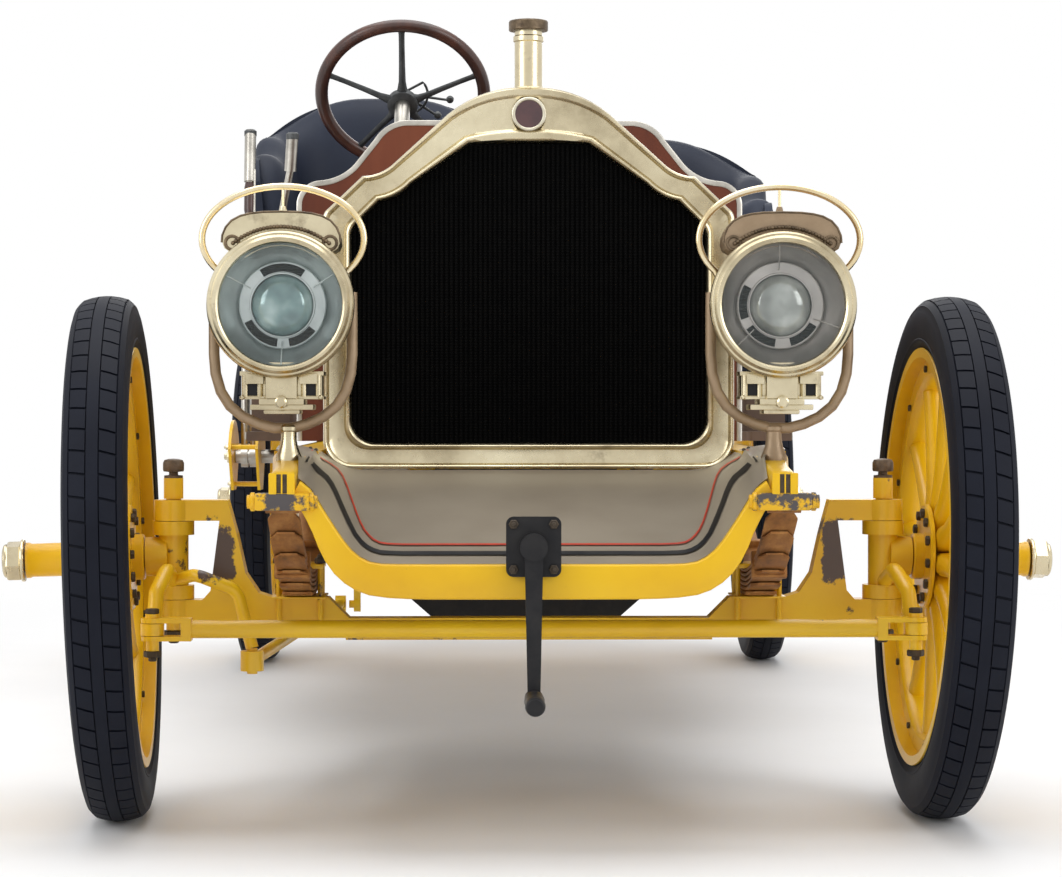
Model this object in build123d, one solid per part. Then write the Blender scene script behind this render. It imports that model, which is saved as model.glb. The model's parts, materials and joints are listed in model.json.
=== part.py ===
from build123d import *
from math import atan2, cos, degrees, radians, sin
import os

# Brass era racing runabout, in millimetres. +Z is up, the car faces -Y, and +X is the car's left.
# The origin is on the ground, on the centreline, midway along the car. Stations are distances aft
# of the front axle, and aft() turns them into Y.

os.makedirs("parts", exist_ok=True)

# Driving dimensions
wheelbase = 3150.0
track = 1422.0
front_axle_y = -1578.0
tyre_radius = 457.0
tyre_width = 108.0
kingpin_inset = 89.0
spring_inset = 222.0
frame_rise = 188.0
radiator_height = 669.0
radiator_drop = 33.0
dash_station = 1250.0
running_clearance = 0.06
gap = 0.3

# Places that follow from them. Heights of the running gear hang on the wheels, and those of the frame
# and body on the frame's top; widths hang on the track.
kingpin_half = track / 2 - kingpin_inset
frame_half_width = kingpin_half - spring_inset
frame_top = tyre_radius + frame_rise
rail_outer = frame_half_width + 37.0
rail_inner = frame_half_width - 38.0
radiator_half_width = rail_inner - 1.0
radiator_bottom = frame_top - radiator_drop
radiator_top = radiator_bottom + radiator_height

# Wheels
tread_half = 38.0
tread_drop = 7.0
bead_half = 42.0
tyre_height = 101.0
rim_radius = tyre_radius - tyre_height
rim_thickness = 6.0
flange_radius = rim_radius + 10.0
flange_thickness = 6.0
felloe_depth = 34.0
felloe_half = 25.0
spoke_count = 12
spoke_turn = 6.3
spoke_root = 88.0
spoke_width_root = 40.0
spoke_width_tip = 27.0
spoke_depth_root = 46.0
spoke_depth_tip = 32.0
nave_half = 24.0
nave_bore = 45.0
hub_flange_radius = 92.0
hub_flange_thickness = 8.0
hub_snout_radius = 29.0
hub_cap_radius = 35.0
hub_cap_length = 40.0
front_hub_reach = 195.0
rear_hub_reach = 125.0
hub_inner_reach = 52.0

# Front axle, knuckles and steering. Angles are in degrees.
camber = 1.6
steer_at_rest = 1.9
toe_in = 1.0
kingpin_radius = 13.0
spindle_radius = 20.0
axle_beam_z = tyre_radius - 124.0
axle_beam_height = 38.0
axle_beam_depth = 50.0
jaw_top = tyre_radius + 101.0
jaw_thickness = 36.0
jaw_radius = 34.0
pad_top = tyre_radius - 69.0
pad_bottom = pad_top - 40.0
knuckle_gap = 1.0
tie_rod_z = tyre_radius - 110.0
tie_rod_radius = 15.0
steering_arm_length = 205.0
steering_arm_outset = 24.0
steering_pin_radius = 8.0
open_pin_clearance = 5.0
drag_arm_inset = 140.0
drag_arm_length = 112.0
drag_link_z = tyre_radius - 172.0
drag_link_radius = 11.0
ball_stem_radius = 9.0
drop_arm_length = 235.0
drop_arm_station = 1010.0
drop_arm_x = -(rail_inner - 17.0)
drop_arm_z = frame_top - 105.0
drag_link_rear_x = drop_arm_x - 35.0
column_foot = 1075.0
column_foot_z = drop_arm_z + 57.0
steering_wheel_station = wheelbase - 1000.0
steering_wheel_x = drop_arm_x + 65.0
steering_wheel_z = frame_top + 854.0
column_tilt = degrees(atan2(steering_wheel_z - column_foot_z, steering_wheel_station - column_foot))
steering_wheel_radius = 206.0
steering_rim_radius = 13.0

# Springs
spring_width = 62.0
leaf_thickness = 8.0
front_leaf_count = 6
rear_leaf_count = 7
front_spring_half = 460.0
front_spring_rise = 122.0
rear_spring_half = 560.0
rear_spring_rise = 60.0
spring_eye_radius = 17.0
spring_bolt_radius = 9.0

# Frame
rail_height = 96.0
rail_wall = 8.0
frame_tail = wheelbase + 585.0
crossbar_station = -445.0
crossbar_drop_z = frame_top - 233.0
crossbar_height = 60.0
crossbar_depth = 26.0

# Lamps
lamp_x = frame_half_width + 11.0
lamp_z = frame_top + 243.0
lamp_station = -350.0
lamp_radius = 122.0
lamp_depth = 190.0
lamp_glass_radius = 102.0


def aft(station):
    return front_axle_y + station


def slab(outline, y_front, depth):
    """An outline drawn in X, Z, made solid from y_front rearwards."""
    return Pos(0, y_front + depth, 0) * extrude(Plane.XZ * outline, depth)


def side_plate(outline, x_low, thickness):
    """An outline drawn in Y, Z, made solid from x_low towards +X."""
    return Pos(x_low, 0, 0) * extrude(Plane.YZ * outline, thickness)


def rod(start, end, radius):
    """A round bar between two points."""
    a, b = Vector(*start), Vector(*end)
    return Plane(origin=a, z_dir=b - a) * Cylinder(
        radius, (b - a).length, align=(Align.CENTER, Align.CENTER, Align.MIN)
    )


def bar(start, end, width, height):
    """A square-edged bar between two points; its width runs across the car."""
    a, b = Vector(*start), Vector(*end)
    along = b - a
    plane = Plane(origin=a, x_dir=(1, 0, 0) if abs(along.X) < 0.7 * along.length else (0, 1, 0), z_dir=along)
    return plane * Box(width, height, along.length, align=(Align.CENTER, Align.CENTER, Align.MIN))


def bent_tube(points, radii, radius):
    """A round tube along straight runs joined by tangent arcs."""
    path = FilletPolyline(*points, radius=radii)
    return sweep(Plane(origin=path @ 0, z_dir=path % 0) * Circle(radius), path=path)


def mirrored(shape):
    return mirror(shape, about=Plane.YZ)


def closed_outline(half):
    """A face from the right-hand half of an outline, given as edges from top to bottom centre."""
    half = Curve() + half
    return make_face(half + mirror(half, about=Plane.YZ))


# Wheels
crown_radius = (tread_half**2 + tread_drop**2) / (2 * tread_drop)


def make_tyre():
    shoulder = tyre_radius - tread_drop
    bead_top = flange_radius + gap
    side = (bead_top + shoulder) / 2
    # Section across (X) and out from the axle (Y), revolved about the wheel's own axle
    section = make_face(
        Curve()
        + Polyline((-bead_half, bead_top), (-bead_half, rim_radius), (bead_half, rim_radius),
                   (bead_half, bead_top))
        + ThreePointArc((bead_half, bead_top), (tyre_width / 2, side), (tread_half, shoulder))
        + ThreePointArc((tread_half, shoulder), (0, tyre_radius), (-tread_half, shoulder))
        + ThreePointArc((-tread_half, shoulder), (-tyre_width / 2, side), (-bead_half, bead_top))
    )
    return revolve(section, axis=Axis.X)


def ring(half_width, r_in, r_out, centre=0.0):
    """A plain ring about the wheel's axle."""
    section = Pos(centre, (r_in + r_out) / 2) * Rectangle(2 * half_width, r_out - r_in)
    return revolve(section, axis=Axis.X)


def make_wheel():
    felloe_inner = rim_radius - rim_thickness - felloe_depth
    wheel = ring(felloe_half, felloe_inner, rim_radius - rim_thickness)
    wheel += ring(bead_half + flange_thickness, rim_radius - rim_thickness, rim_radius)
    for side in (-1, 1):
        wheel += ring(flange_thickness / 2, rim_radius - rim_thickness, flange_radius,
                      side * (bead_half + flange_thickness / 2))
    wheel += ring(nave_half, nave_bore, spoke_root + 8)
    root = Plane.XY.offset(spoke_root - 6) * Ellipse(spoke_depth_root / 2, spoke_width_root / 2)
    tip = Plane.XY.offset(felloe_inner + 4) * Ellipse(spoke_depth_tip / 2, spoke_width_tip / 2)
    spoke = loft([root, tip])
    for i in range(spoke_count):
        wheel += Rot(360.0 * i / spoke_count + spoke_turn, 0, 0) * spoke
    return wheel


def make_hub(reach):
    """Barrel, two flanges that clamp the nave, snout and six-sided cap. +X is outboard."""
    hub = ring(nave_half, spindle_radius + running_clearance, nave_bore)
    for side in (-1, 1):
        hub += ring(hub_flange_thickness / 2, spindle_radius + running_clearance, hub_flange_radius,
                    side * (nave_half + hub_flange_thickness / 2))
    inner_face = nave_half + hub_flange_thickness
    hub += ring((hub_inner_reach - inner_face) / 2, spindle_radius + running_clearance, 40.0,
                -(inner_face + hub_inner_reach) / 2)
    snout_end = reach - hub_cap_length
    hub += Rot(0, 90, 0) * Pos(0, 0, inner_face) * Cone(
        44.0, hub_snout_radius, 22.0, align=(Align.CENTER, Align.CENTER, Align.MIN))
    hub += Rot(0, 90, 0) * Pos(0, 0, inner_face) * Cylinder(
        hub_snout_radius, snout_end - inner_face, align=(Align.CENTER, Align.CENTER, Align.MIN))
    return hub - Rot(0, 90, 0) * Cylinder(spindle_radius + running_clearance, 2 * (inner_face + 30.0))


def make_hub_cap(reach):
    cap = extrude(RegularPolygon(hub_cap_radius, 6), hub_cap_length - 8)
    cap += Cylinder(hub_cap_radius + 2, 6, align=(Align.CENTER, Align.CENTER, Align.MIN))
    cap += Pos(0, 0, hub_cap_length - 8) * Cone(
        hub_cap_radius * 0.86, hub_cap_radius * 0.72, 8, align=(Align.CENTER, Align.CENTER, Align.MIN))
    return Pos(reach - hub_cap_length, 0, 0) * Rot(0, 90, 0) * cap


drum_radius = 165.0
drum_width = 60.0


def make_drum():
    """Brake drum, bolted to the inside of a rear wheel. +X is outboard."""
    face = -(nave_half + hub_flange_thickness)
    drum = ring(4.0, 60.0, drum_radius, face - 4.0)
    return drum + ring(drum_width / 2, drum_radius - 8.0, drum_radius, face - drum_width / 2)


front_wheel_z = (tyre_radius - crown_radius) * cos(radians(camber)) + crown_radius
wheel_reach = (track / 2 + tyre_radius * sin(radians(camber)) - kingpin_half) / cos(radians(camber))
front_wheel_drop = wheel_reach * sin(radians(camber))


def front_place(side):
    """From a knuckle's own frame, whose +X runs outboard along the spindle from the kingpin axis, to
    the car, with camber, toe-in and the rest angle of the steering."""
    turn = steer_at_rest - side * toe_in
    facing = 0 if side > 0 else 180
    at = Pos(side * kingpin_half, front_axle_y, front_wheel_z + front_wheel_drop)
    return at * Rot(0, 0, turn + facing) * Rot(0, camber, 0)


def carry(place, point):
    """Where a placement takes a point."""
    return (place * Pos(*point)).position


def knuckle_turn(side):
    """From straight ahead to the rest angle of the steering, about the kingpin."""
    turn = steer_at_rest - side * toe_in
    at = Pos(side * kingpin_half, front_axle_y, 0)
    return at * Rot(0, 0, turn) * at.inverse()


def rear_place(side):
    at = Pos(side * track / 2, aft(wheelbase), tyre_radius)
    return at * Rot(0, 0, 0 if side > 0 else 180)


# Front axle and knuckles
lower_jaw_top = pad_top - 4.0
knuckle_top = jaw_top - jaw_thickness - knuckle_gap
knuckle_bottom = lower_jaw_top + knuckle_gap


def make_front_axle():
    y = front_axle_y
    seat_in, seat_out = frame_half_width - 50.0, frame_half_width + 47.0
    beam_half = seat_in - 32.0

    def towards_kingpin(share):
        return seat_out + share * (kingpin_half - seat_out)

    axle = Pos(0, y, axle_beam_z) * Box(2 * beam_half + 4, axle_beam_depth, axle_beam_height)
    under_jaw = jaw_top - jaw_thickness
    end = Polyline(
        (beam_half - 20, axle_beam_z - axle_beam_height / 2), (beam_half + 30, pad_bottom),
        (kingpin_half, pad_bottom), (kingpin_half, lower_jaw_top),
        (towards_kingpin(0.70), lower_jaw_top), (towards_kingpin(0.62), lower_jaw_top + 16),
        (towards_kingpin(0.53), under_jaw), (kingpin_half, under_jaw), (kingpin_half, jaw_top),
        (towards_kingpin(0.45), jaw_top), (towards_kingpin(0.36), jaw_top - 58),
        (towards_kingpin(0.27), pad_top + 42), (towards_kingpin(0.14), pad_top + 8),
        (seat_out, pad_top), (seat_in, pad_top),
        (beam_half - 4, axle_beam_z + axle_beam_height / 2), (beam_half - 20, axle_beam_z), close=True,
    )
    arm = slab(make_face(end), y - axle_beam_depth / 2, axle_beam_depth)
    hole = Pos(kingpin_half, y, (pad_bottom + jaw_top) / 2) * Cylinder(kingpin_radius + gap, 400)
    for z_low, z_high in ((pad_bottom, lower_jaw_top), (jaw_top - jaw_thickness, jaw_top)):
        arm += Pos(kingpin_half, y, (z_low + z_high) / 2) * Cylinder(jaw_radius, z_high - z_low)
    arm -= hole
    for side in (-1, 1):
        axle += arm if side > 0 else mirrored(arm)
    return axle


def knuckle_core(side):
    """Spool between the jaws, its kingpin and the spindle that carries the hub."""
    x, y = side * kingpin_half, front_axle_y
    height = knuckle_top - knuckle_bottom
    spool = Pos(x, y, (knuckle_top + knuckle_bottom) / 2) * Cylinder(26.0, height)
    spool += Pos(x, y, knuckle_top - 12) * Cylinder(36.0, 24.0)
    spool += Pos(x, y, knuckle_bottom + 12) * Cylinder(36.0, 24.0)
    spool += Pos(x, y, (pad_bottom + jaw_top) / 2) * Cylinder(kingpin_radius, jaw_top - pad_bottom + 36)
    spool += Pos(x, y, jaw_top + 20) * Cylinder(17.0, 36.0)
    spindle_start, hub_start = 10.0, wheel_reach - hub_inner_reach - 2.0
    spindle = Rot(0, 90, 0) * Pos(0, 0, spindle_start) * Cylinder(
        34.0, hub_start - spindle_start, align=(Align.CENTER, Align.CENTER, Align.MIN))
    spindle += Rot(0, 90, 0) * Pos(0, 0, spindle_start) * Cylinder(
        spindle_radius, wheel_reach + 20.0, align=(Align.CENTER, Align.CENTER, Align.MIN))
    return spool + front_place(side) * spindle


def arm_pin(side):
    """Where the tie rod's pin stands when the wheels are straight ahead."""
    return side * (kingpin_half + steering_arm_outset), front_axle_y - steering_arm_length


eye_radius = 20.0
eye_half = 10.0


def steering_arm(side):
    """Forging from the spool's foot, forward and down to the eye that the tie rod's fork holds."""
    x, y = side * kingpin_half, front_axle_y
    pin_x, pin_y = arm_pin(side)
    z = knuckle_bottom + 30
    arm = bent_tube([(x, y - 20, z), (x + side * 6, y - 90, z + 26), (pin_x - side * 3, pin_y + 58, z - 10),
                     (pin_x, pin_y + 36, tie_rod_z)], [30, 16], 13.0)
    arm += Pos(pin_x, pin_y + 20, tie_rod_z) * Box(26.0, 40.0, 2 * eye_half)
    arm += Pos(pin_x, pin_y, tie_rod_z) * Cylinder(eye_radius, 2 * eye_half)
    bore = steering_pin_radius + (running_clearance if side < 0 else open_pin_clearance)
    return arm - Pos(pin_x, pin_y, tie_rod_z) * Cylinder(bore, 100)


def drag_arm():
    """The right-hand knuckle's second arm, arched over to the drag link's pin."""
    x, y = -kingpin_half, front_axle_y
    z = knuckle_bottom + 34
    foot_x, foot_y = x + drag_arm_inset, y - drag_arm_length
    arm = bent_tube([(x + 4, y - 24, z), (x + 44, foot_y + 4, z + 14), (foot_x - 26, foot_y + 10, z - 14),
                     (foot_x, foot_y, drag_link_z + 22)], [22, 30], 11.0)
    return arm + Pos(foot_x, foot_y, drag_link_z) * Cylinder(ball_stem_radius, 44.0)


def make_knuckle(side):
    body = knuckle_core(side)
    arms = steering_arm(side)
    if side < 0:
        arms += drag_arm()
    return body + knuckle_turn(side) * arms


def make_tie_rod():
    """A tube with a fork and pin at each end, seen at the rest angle of the steering."""
    right = carry(knuckle_turn(-1), (*arm_pin(-1), tie_rod_z))
    left = carry(knuckle_turn(1), (*arm_pin(1), tie_rod_z))
    fork_length, prong = 62.0, 8.0
    span = (left - right).length
    tube = Rot(0, 90, 0) * Pos(0, 0, fork_length) * Cylinder(
        tie_rod_radius, span - 2 * fork_length, align=(Align.CENTER, Align.CENTER, Align.MIN))
    fork = Pos(fork_length / 2 - 4, 0, 0) * Box(fork_length + 16, 34.0, 2 * (eye_half + 1 + prong))
    fork -= Pos(14, 0, 0) * Box(70.0, 60.0, 2 * (eye_half + 1))
    for level in (-1, 1):
        fork += Pos(0, 0, level * (eye_half + 1 + prong / 2)) * Cylinder(19.0, prong)
    fork += Cylinder(steering_pin_radius, 2 * (eye_half + 1 + prong))
    fork += Pos(0, 0, eye_half + prong + 4) * Cylinder(12.0, 8.0)
    fork += Pos(0, 0, -(eye_half + prong + 12)) * Cylinder(11.0, 24.0)
    fork -= Pos(-20, 0, 0) * Box(30.0, 60.0, 12.0)
    tube += fork
    tube += Pos(span, 0, 0) * Rot(0, 0, 180) * fork
    heading = degrees(atan2(left.Y - right.Y, left.X - right.X))
    return Pos(right) * Rot(0, 0, heading) * tube


# Springs
def leaf_spring(half_length, rise, count, low_z):
    """A stack of leaves bent to one centre, the longest on top with an eye at each end. Drawn about
    Y = 0 with the underside of the shortest leaf at low_z."""
    top_z = low_z + count * leaf_thickness
    bend = (half_length**2 + rise**2) / (2 * rise)
    centre_z = top_z + bend
    reach = degrees(atan2(half_length, bend - rise))
    spring = None
    for i in range(count):
        half_angle = reach * (1 - 0.82 * i / count)
        inner, outer = bend + i * leaf_thickness, bend + (i + 1) * leaf_thickness
        band = Circle(outer) - Circle(inner)
        a = radians(half_angle)
        wedge = make_face(Polyline((0, 0), (2 * bend * sin(a), -2 * bend * cos(a)),
                                   (-2 * bend * sin(a), -2 * bend * cos(a)), close=True))
        leaf = Pos(0, centre_z) * (band & wedge)
        solid = side_plate(leaf, -spring_width / 2, spring_width)
        spring = solid if spring is None else spring + solid
    a = radians(reach)
    for end in (-1, 1):
        eye = Pos(0, end * (bend - 6) * sin(a), centre_z - (bend - 6) * cos(a)) * Rot(0, 90, 0)
        spring += eye * Cylinder(spring_eye_radius, spring_width)
        spring -= eye * Cylinder(spring_bolt_radius + gap, spring_width + 2)
    return spring


front_spring_low = pad_top + 4.0
front_eye_z = front_spring_low + front_leaf_count * leaf_thickness + front_spring_rise + 6
rear_spring_low = tyre_radius + 44.0
rear_spring_x = rail_outer + 53.0


def make_front_springs():
    spring = leaf_spring(front_spring_half, front_spring_rise, front_leaf_count, front_spring_low)
    clips = Pos(0, 0, pad_top + 2.3) * Box(92.0, 110.0, 3.4)
    clips += Pos(0, 0, front_spring_low + front_leaf_count * leaf_thickness + 4) * Box(84.0, 90.0, 8.0)
    clips += Pos(0, 0, pad_bottom - 5) * Box(80.0, 84.0, 8.0)
    for sx in (-1, 1):
        for sy in (-1, 1):
            clips += Pos(sx * 36, sy * 34, (pad_bottom + pad_top) / 2 + 30) * Cylinder(4.5, 145.0)
    pair = None
    for side in (-1, 1):
        placed = Pos(side * frame_half_width, front_axle_y, 0) * (spring + clips)
        pair = placed if pair is None else pair + placed
    return pair


def spring_eye_at(half_length, rise, count, low_z):
    """How far from the middle, and how high, a spring's eye stands."""
    bend = (half_length**2 + rise**2) / (2 * rise)
    a = atan2(half_length, bend - rise)
    return (bend - 6) * sin(a), low_z + count * leaf_thickness + bend - (bend - 6) * cos(a)


front_eye_y, front_eye_z = spring_eye_at(
    front_spring_half, front_spring_rise, front_leaf_count, front_spring_low)
rear_eye_y, rear_eye_z = spring_eye_at(
    rear_spring_half, rear_spring_rise, rear_leaf_count, rear_spring_low)


def make_rear_springs():
    spring = leaf_spring(rear_spring_half, rear_spring_rise, rear_leaf_count, rear_spring_low)
    top = rear_spring_low + rear_leaf_count * leaf_thickness
    clips = Pos(0, 0, top + 4) * Box(90.0, 110.0, 8.0)
    clips += Pos(0, 0, tyre_radius - 50) * Box(90.0, 130.0, 10.0)
    for sx in (-1, 1):
        for sy in (-1, 1):
            clips += Pos(sx * 39, sy * 50, (tyre_radius - 54 + top + 14) / 2) * Cylinder(
                6.0, top + 14 - tyre_radius + 54)
    spring += clips
    placed = Pos(rear_spring_x, aft(wheelbase), 0) * spring
    return placed + mirrored(placed)


# Rear axle
axle_tube_radius = 38.0


def make_rear_axle():
    """Banjo housing with its tubes and spindles turned in one piece, spring seats and torque tube."""
    y, z = aft(wheelbase), tyre_radius
    tube_end = track / 2 - hub_inner_reach - 2.0
    spindle_end = track / 2 + 20.0
    half = [(12, 165), (12, 150), (70, 136), (130, 92), (215, axle_tube_radius),
            (tube_end, axle_tube_radius), (tube_end, spindle_radius), (spindle_end, spindle_radius),
            (spindle_end, 0)]
    profile = [(-x, r) for x, r in reversed(half)] + half
    housing = Pos(0, y, z) * revolve(make_face(Polyline(*profile, close=True)), axis=Axis.X)
    axle = housing + Pos(0, aft(1850.0) + gap, z) * Rot(-90, 0, 0) * Cylinder(
        36.0, wheelbase - 1850.0 - 100, align=(Align.CENTER, Align.CENTER, Align.MIN))
    pad_low, pad_high = z - 44, rear_spring_low - gap
    for side in (-1, 1):
        axle += Pos(side * rear_spring_x, y, (pad_low + pad_high) / 2) * Box(80.0, 88.0, pad_high - pad_low)
        axle += Pos(side * (track / 2 - 104), y, z) * Rot(0, 90, 0) * Cylinder(drum_radius - 12, 8.0)
    return axle


# Frame
front_rail_bottom = front_eye_z + spring_eye_radius + 6.0
rail_bottom = frame_top - rail_height


def rail_outline():
    front = -front_eye_y
    return make_face(
        Curve()
        + Line((aft(front) - 20, front_eye_z - 6), (aft(front) - 16, front_eye_z + 16))
        + ThreePointArc((aft(front) - 16, front_eye_z + 16), (aft(-330.0), frame_top - 20),
                        (aft(-130.0), frame_top))
        + Polyline((aft(-130.0), frame_top), (aft(frame_tail), frame_top),
                   (aft(frame_tail), frame_top - 60), (aft(wheelbase + 330), frame_top - 60),
                   (aft(wheelbase - 330), frame_top - 60), (aft(wheelbase - 470), rail_bottom),
                   (aft(680.0), rail_bottom), (aft(560.0), front_rail_bottom),
                   (aft(-200.0), front_rail_bottom))
        + ThreePointArc((aft(-200.0), front_rail_bottom), (aft(-330.0), front_rail_bottom - 10),
                        (aft(front) + 20, front_eye_z - 18))
        + Line((aft(front) + 20, front_eye_z - 18), (aft(front) - 20, front_eye_z - 6))
    )


def make_frame():
    outline = rail_outline()
    rail = side_plate(outline, rail_inner, rail_outer - rail_inner)
    channel_width = rail_outer - rail_inner - rail_wall + 1
    middle = Pos(rail_inner - 1, aft(700.0), rail_bottom + rail_wall) * Box(
        channel_width, wheelbase - 470 - 720.0, rail_height - 2 * rail_wall,
        align=(Align.MIN, Align.MIN, Align.MIN))
    front = Pos(rail_inner - 1, aft(0.0), front_rail_bottom + rail_wall) * Box(
        channel_width, 560.0, frame_top - front_rail_bottom - 2 * rail_wall,
        align=(Align.MIN, Align.MIN, Align.MIN))
    rear = Pos(rail_inner - 1, aft(wheelbase - 330), frame_top - 60 + rail_wall) * Box(
        channel_width, frame_tail - wheelbase + 330 - rail_wall, 60 - 2 * rail_wall,
        align=(Align.MIN, Align.MIN, Align.MIN))
    rail -= middle
    rail -= front
    rail -= rear
    slot = spring_width + 2 * gap
    rail -= Pos(frame_half_width, aft(-front_eye_y), front_eye_z - 4) * Box(slot, 56.0, 52.0)
    eye = Pos(frame_half_width, aft(-front_eye_y), front_eye_z) * Rot(0, 90, 0)
    rail += eye * Cylinder(spring_bolt_radius, rail_outer - rail_inner)
    for x in (rail_inner, rail_outer - 6.0 + gap):
        rail += Pos(x, aft(front_eye_y) - 18, front_eye_z - 14) * Box(
            6.0 - gap, 36.0, front_rail_bottom - front_eye_z + 20, align=(Align.MIN, Align.MIN, Align.MIN))
    shackle = Pos(frame_half_width, aft(front_eye_y), front_eye_z) * Rot(0, 90, 0)
    rail += shackle * Cylinder(spring_bolt_radius, rail_outer - rail_inner)
    for end in (-1, 1):
        hanger = Pos(0, aft(wheelbase + end * rear_eye_y), rear_eye_z) * Rot(0, 90, 0)
        rail += hanger * Pos(0, 0, rail_outer - 4) * Cylinder(
            spring_bolt_radius, rear_spring_x + spring_width / 2 + 8 - rail_outer + 4,
            align=(Align.CENTER, Align.CENTER, Align.MIN))
        rail += hanger * Pos(0, 0, rail_outer - 4) * Cylinder(
            16.0, rear_spring_x - spring_width / 2 - gap - rail_outer + 4,
            align=(Align.CENTER, Align.CENTER, Align.MIN))
    frame = rail + mirrored(rail)
    # Station, depth along the car, and how far below the frame's top each member starts and ends
    for station, depth, low, high in (
        (60.0, 50.0, 49.0, 41.0), (1200.0, 60.0, 85.0, 20.0), (1400.0, 40.0, 85.0, 20.0),
        (1910.0, 40.0, 85.0, 20.0), (wheelbase - 510.0, 50.0, 85.0, 5.0),
        (frame_tail - 30.0, 50.0, 55.0, 5.0),
    ):
        frame += Pos(0, aft(station), frame_top - (low + high) / 2) * Box(
            2 * rail_outer - 8, depth, low - high)
    high, low = crossbar_drop_z + crossbar_height, crossbar_drop_z
    bar_half = closed_outline([
        Line((0, high), (rail_inner - 82, high)),
        Line((rail_inner - 82, high), (rail_inner - 13, frame_top - 66)),
        Line((rail_inner - 13, frame_top - 66), (rail_inner + 2, frame_top - 53)),
        Line((rail_inner + 2, frame_top - 53), (rail_inner + 2, frame_top - 97)),
        Line((rail_inner + 2, frame_top - 97), (rail_inner - 17, frame_top - 165)),
        Line((rail_inner - 17, frame_top - 165), (rail_inner - 50, low + 31)),
        Line((rail_inner - 50, low + 31), (rail_inner - 122, low)),
        Line((rail_inner - 122, low), (0, low)),
    ])
    crossbar = slab(bar_half, aft(crossbar_station) - crossbar_depth / 2, crossbar_depth)
    hole = Pos(0, aft(crossbar_station), crank_z) * Rot(90, 0, 0) * Cylinder(24.0, 80.0)
    frame += crossbar - hole
    tow = Pos(0, aft(frame_tail) + 14, frame_top - 30) * Cylinder(26.0, 16.0)
    tow -= Pos(0, aft(frame_tail) + 18, frame_top - 30) * Cylinder(tow_eye_radius, 40.0)
    return frame + tow


tow_eye_radius = 14.0

# Starting crank
crank_z = crossbar_drop_z + 86.0
crank_shaft_radius = 13.0
crank_throw = 240.0
plate_front = crossbar_station - crossbar_depth / 2 - 10.0


def make_crank_plate():
    plate = Pos(0, aft(plate_front), crank_z) * Rot(-90, 0, 0) * extrude(
        RectangleRounded(88.0, 96.0, 12.0), 9.7)
    boss = Pos(0, aft(plate_front) - 4, crank_z) * Rot(-90, 0, 0) * Cylinder(
        24.0, 8.0, align=(Align.CENTER, Align.CENTER, Align.MIN))
    bore = Pos(0, aft(plate_front), crank_z) * Rot(90, 0, 0) * Cylinder(
        crank_shaft_radius + running_clearance, 60.0)
    return plate + boss - bore


def make_crank():
    front = plate_front - 10.0
    crank = Pos(0, aft(front), crank_z) * Rot(-90, 0, 0) * Cylinder(
        crank_shaft_radius, 62.0, align=(Align.CENTER, Align.CENTER, Align.MIN))
    crank += Pos(0, aft(front - 10), crank_z) * Rot(90, 0, 0) * Cylinder(22.0, 22.0)
    y = aft(front - 10)
    arm = slab(make_face(Polyline((-15, crank_z), (-10, crank_z - crank_throw),
                                  (10, crank_z - crank_throw), (15, crank_z), close=True)), y - 7, 14.0)
    crank += arm
    crank += Pos(0, y, crank_z - crank_throw) * Rot(90, 0, 0) * Cylinder(15.0, 14.0)
    crank += Pos(0, y, crank_z - crank_throw) * Rot(90, 0, 0) * Cylinder(
        12.0, 130.0, align=(Align.CENTER, Align.CENTER, Align.MIN))
    return crank


# Radiator
radiator_depth = 112.0
core_inset = 14.0
neck_radius = 24.5


arch_half = 0.393 * radiator_half_width
core_border = 50.0


def radiator_face():
    w, a, top, low = radiator_half_width, arch_half, radiator_top, radiator_bottom
    return closed_outline([
        ThreePointArc((0, top), (0.535 * a, top - 10), (a, top - 47)),
        Line((a, top - 47), (0.654 * w, top - 133)),
        ThreePointArc((0.654 * w, top - 133), (0.726 * w, top - 150), (0.809 * w, top - 156)),
        Line((0.809 * w, top - 156), (0.975 * w, top - 213)),
        ThreePointArc((0.975 * w, top - 213), (w - 2.5, top - 220), (w, top - 229)),
        Line((w, top - 229), (w, low + 45)),
        ThreePointArc((w, low + 45), (w - 13.2, low + 13.2), (w - 45, low)),
        Line((w - 45, low), (0, low)),
    ])


def core_face(inset=0.0):
    """The opening in the shell, or the core that stands that much inside it."""
    g, h = inset, 1.5 * inset
    w, a, top, low = radiator_half_width - core_border - inset, arch_half, radiator_top, radiator_bottom
    return closed_outline([
        Line((0, top - 98 - g), (0.732 * a, top - 98 - g)),
        ThreePointArc((0.732 * a, top - 98 - g), (0.9 * a - g, top - 103 - g), (1.04 * a - g, top - 116 - h)),
        Line((1.04 * a - g, top - 116 - h), (0.662 * w, top - 171 - h)),
        ThreePointArc((0.662 * w, top - 171 - h), (0.746 * w, top - 191 - h), (0.842 * w, top - 201 - h)),
        Line((0.842 * w, top - 201 - h), (0.965 * w, top - 239 - h)),
        ThreePointArc((0.965 * w, top - 239 - h), (0.99 * w, top - 251 - h), (w, top - 265 - h)),
        Line((w, top - 265 - h), (w, low + 88)),
        ThreePointArc((w, low + 88), (w - 12.6, low + 57.6 + g), (w - 43, low + 45 + g)),
        Line((w - 43, low + 45 + g), (0, low + 45 + g)),
    ])


def make_radiator_shell():
    shell = slab(radiator_face(), aft(0.0), radiator_depth)
    shell -= slab(core_face(), aft(-5.0), radiator_depth + 10)
    neck = Pos(0, aft(radiator_depth / 2), radiator_top - 30) * Cylinder(
        neck_radius, 134.0, align=(Align.CENTER, Align.CENTER, Align.MIN))
    collar = Pos(0, aft(radiator_depth / 2), radiator_top - 12) * Cylinder(
        neck_radius + 9, 22.0, align=(Align.CENTER, Align.CENTER, Align.MIN))
    return shell + neck + collar


def make_radiator_core():
    return slab(core_face(gap), aft(core_inset), radiator_depth - core_inset - 8)


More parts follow.
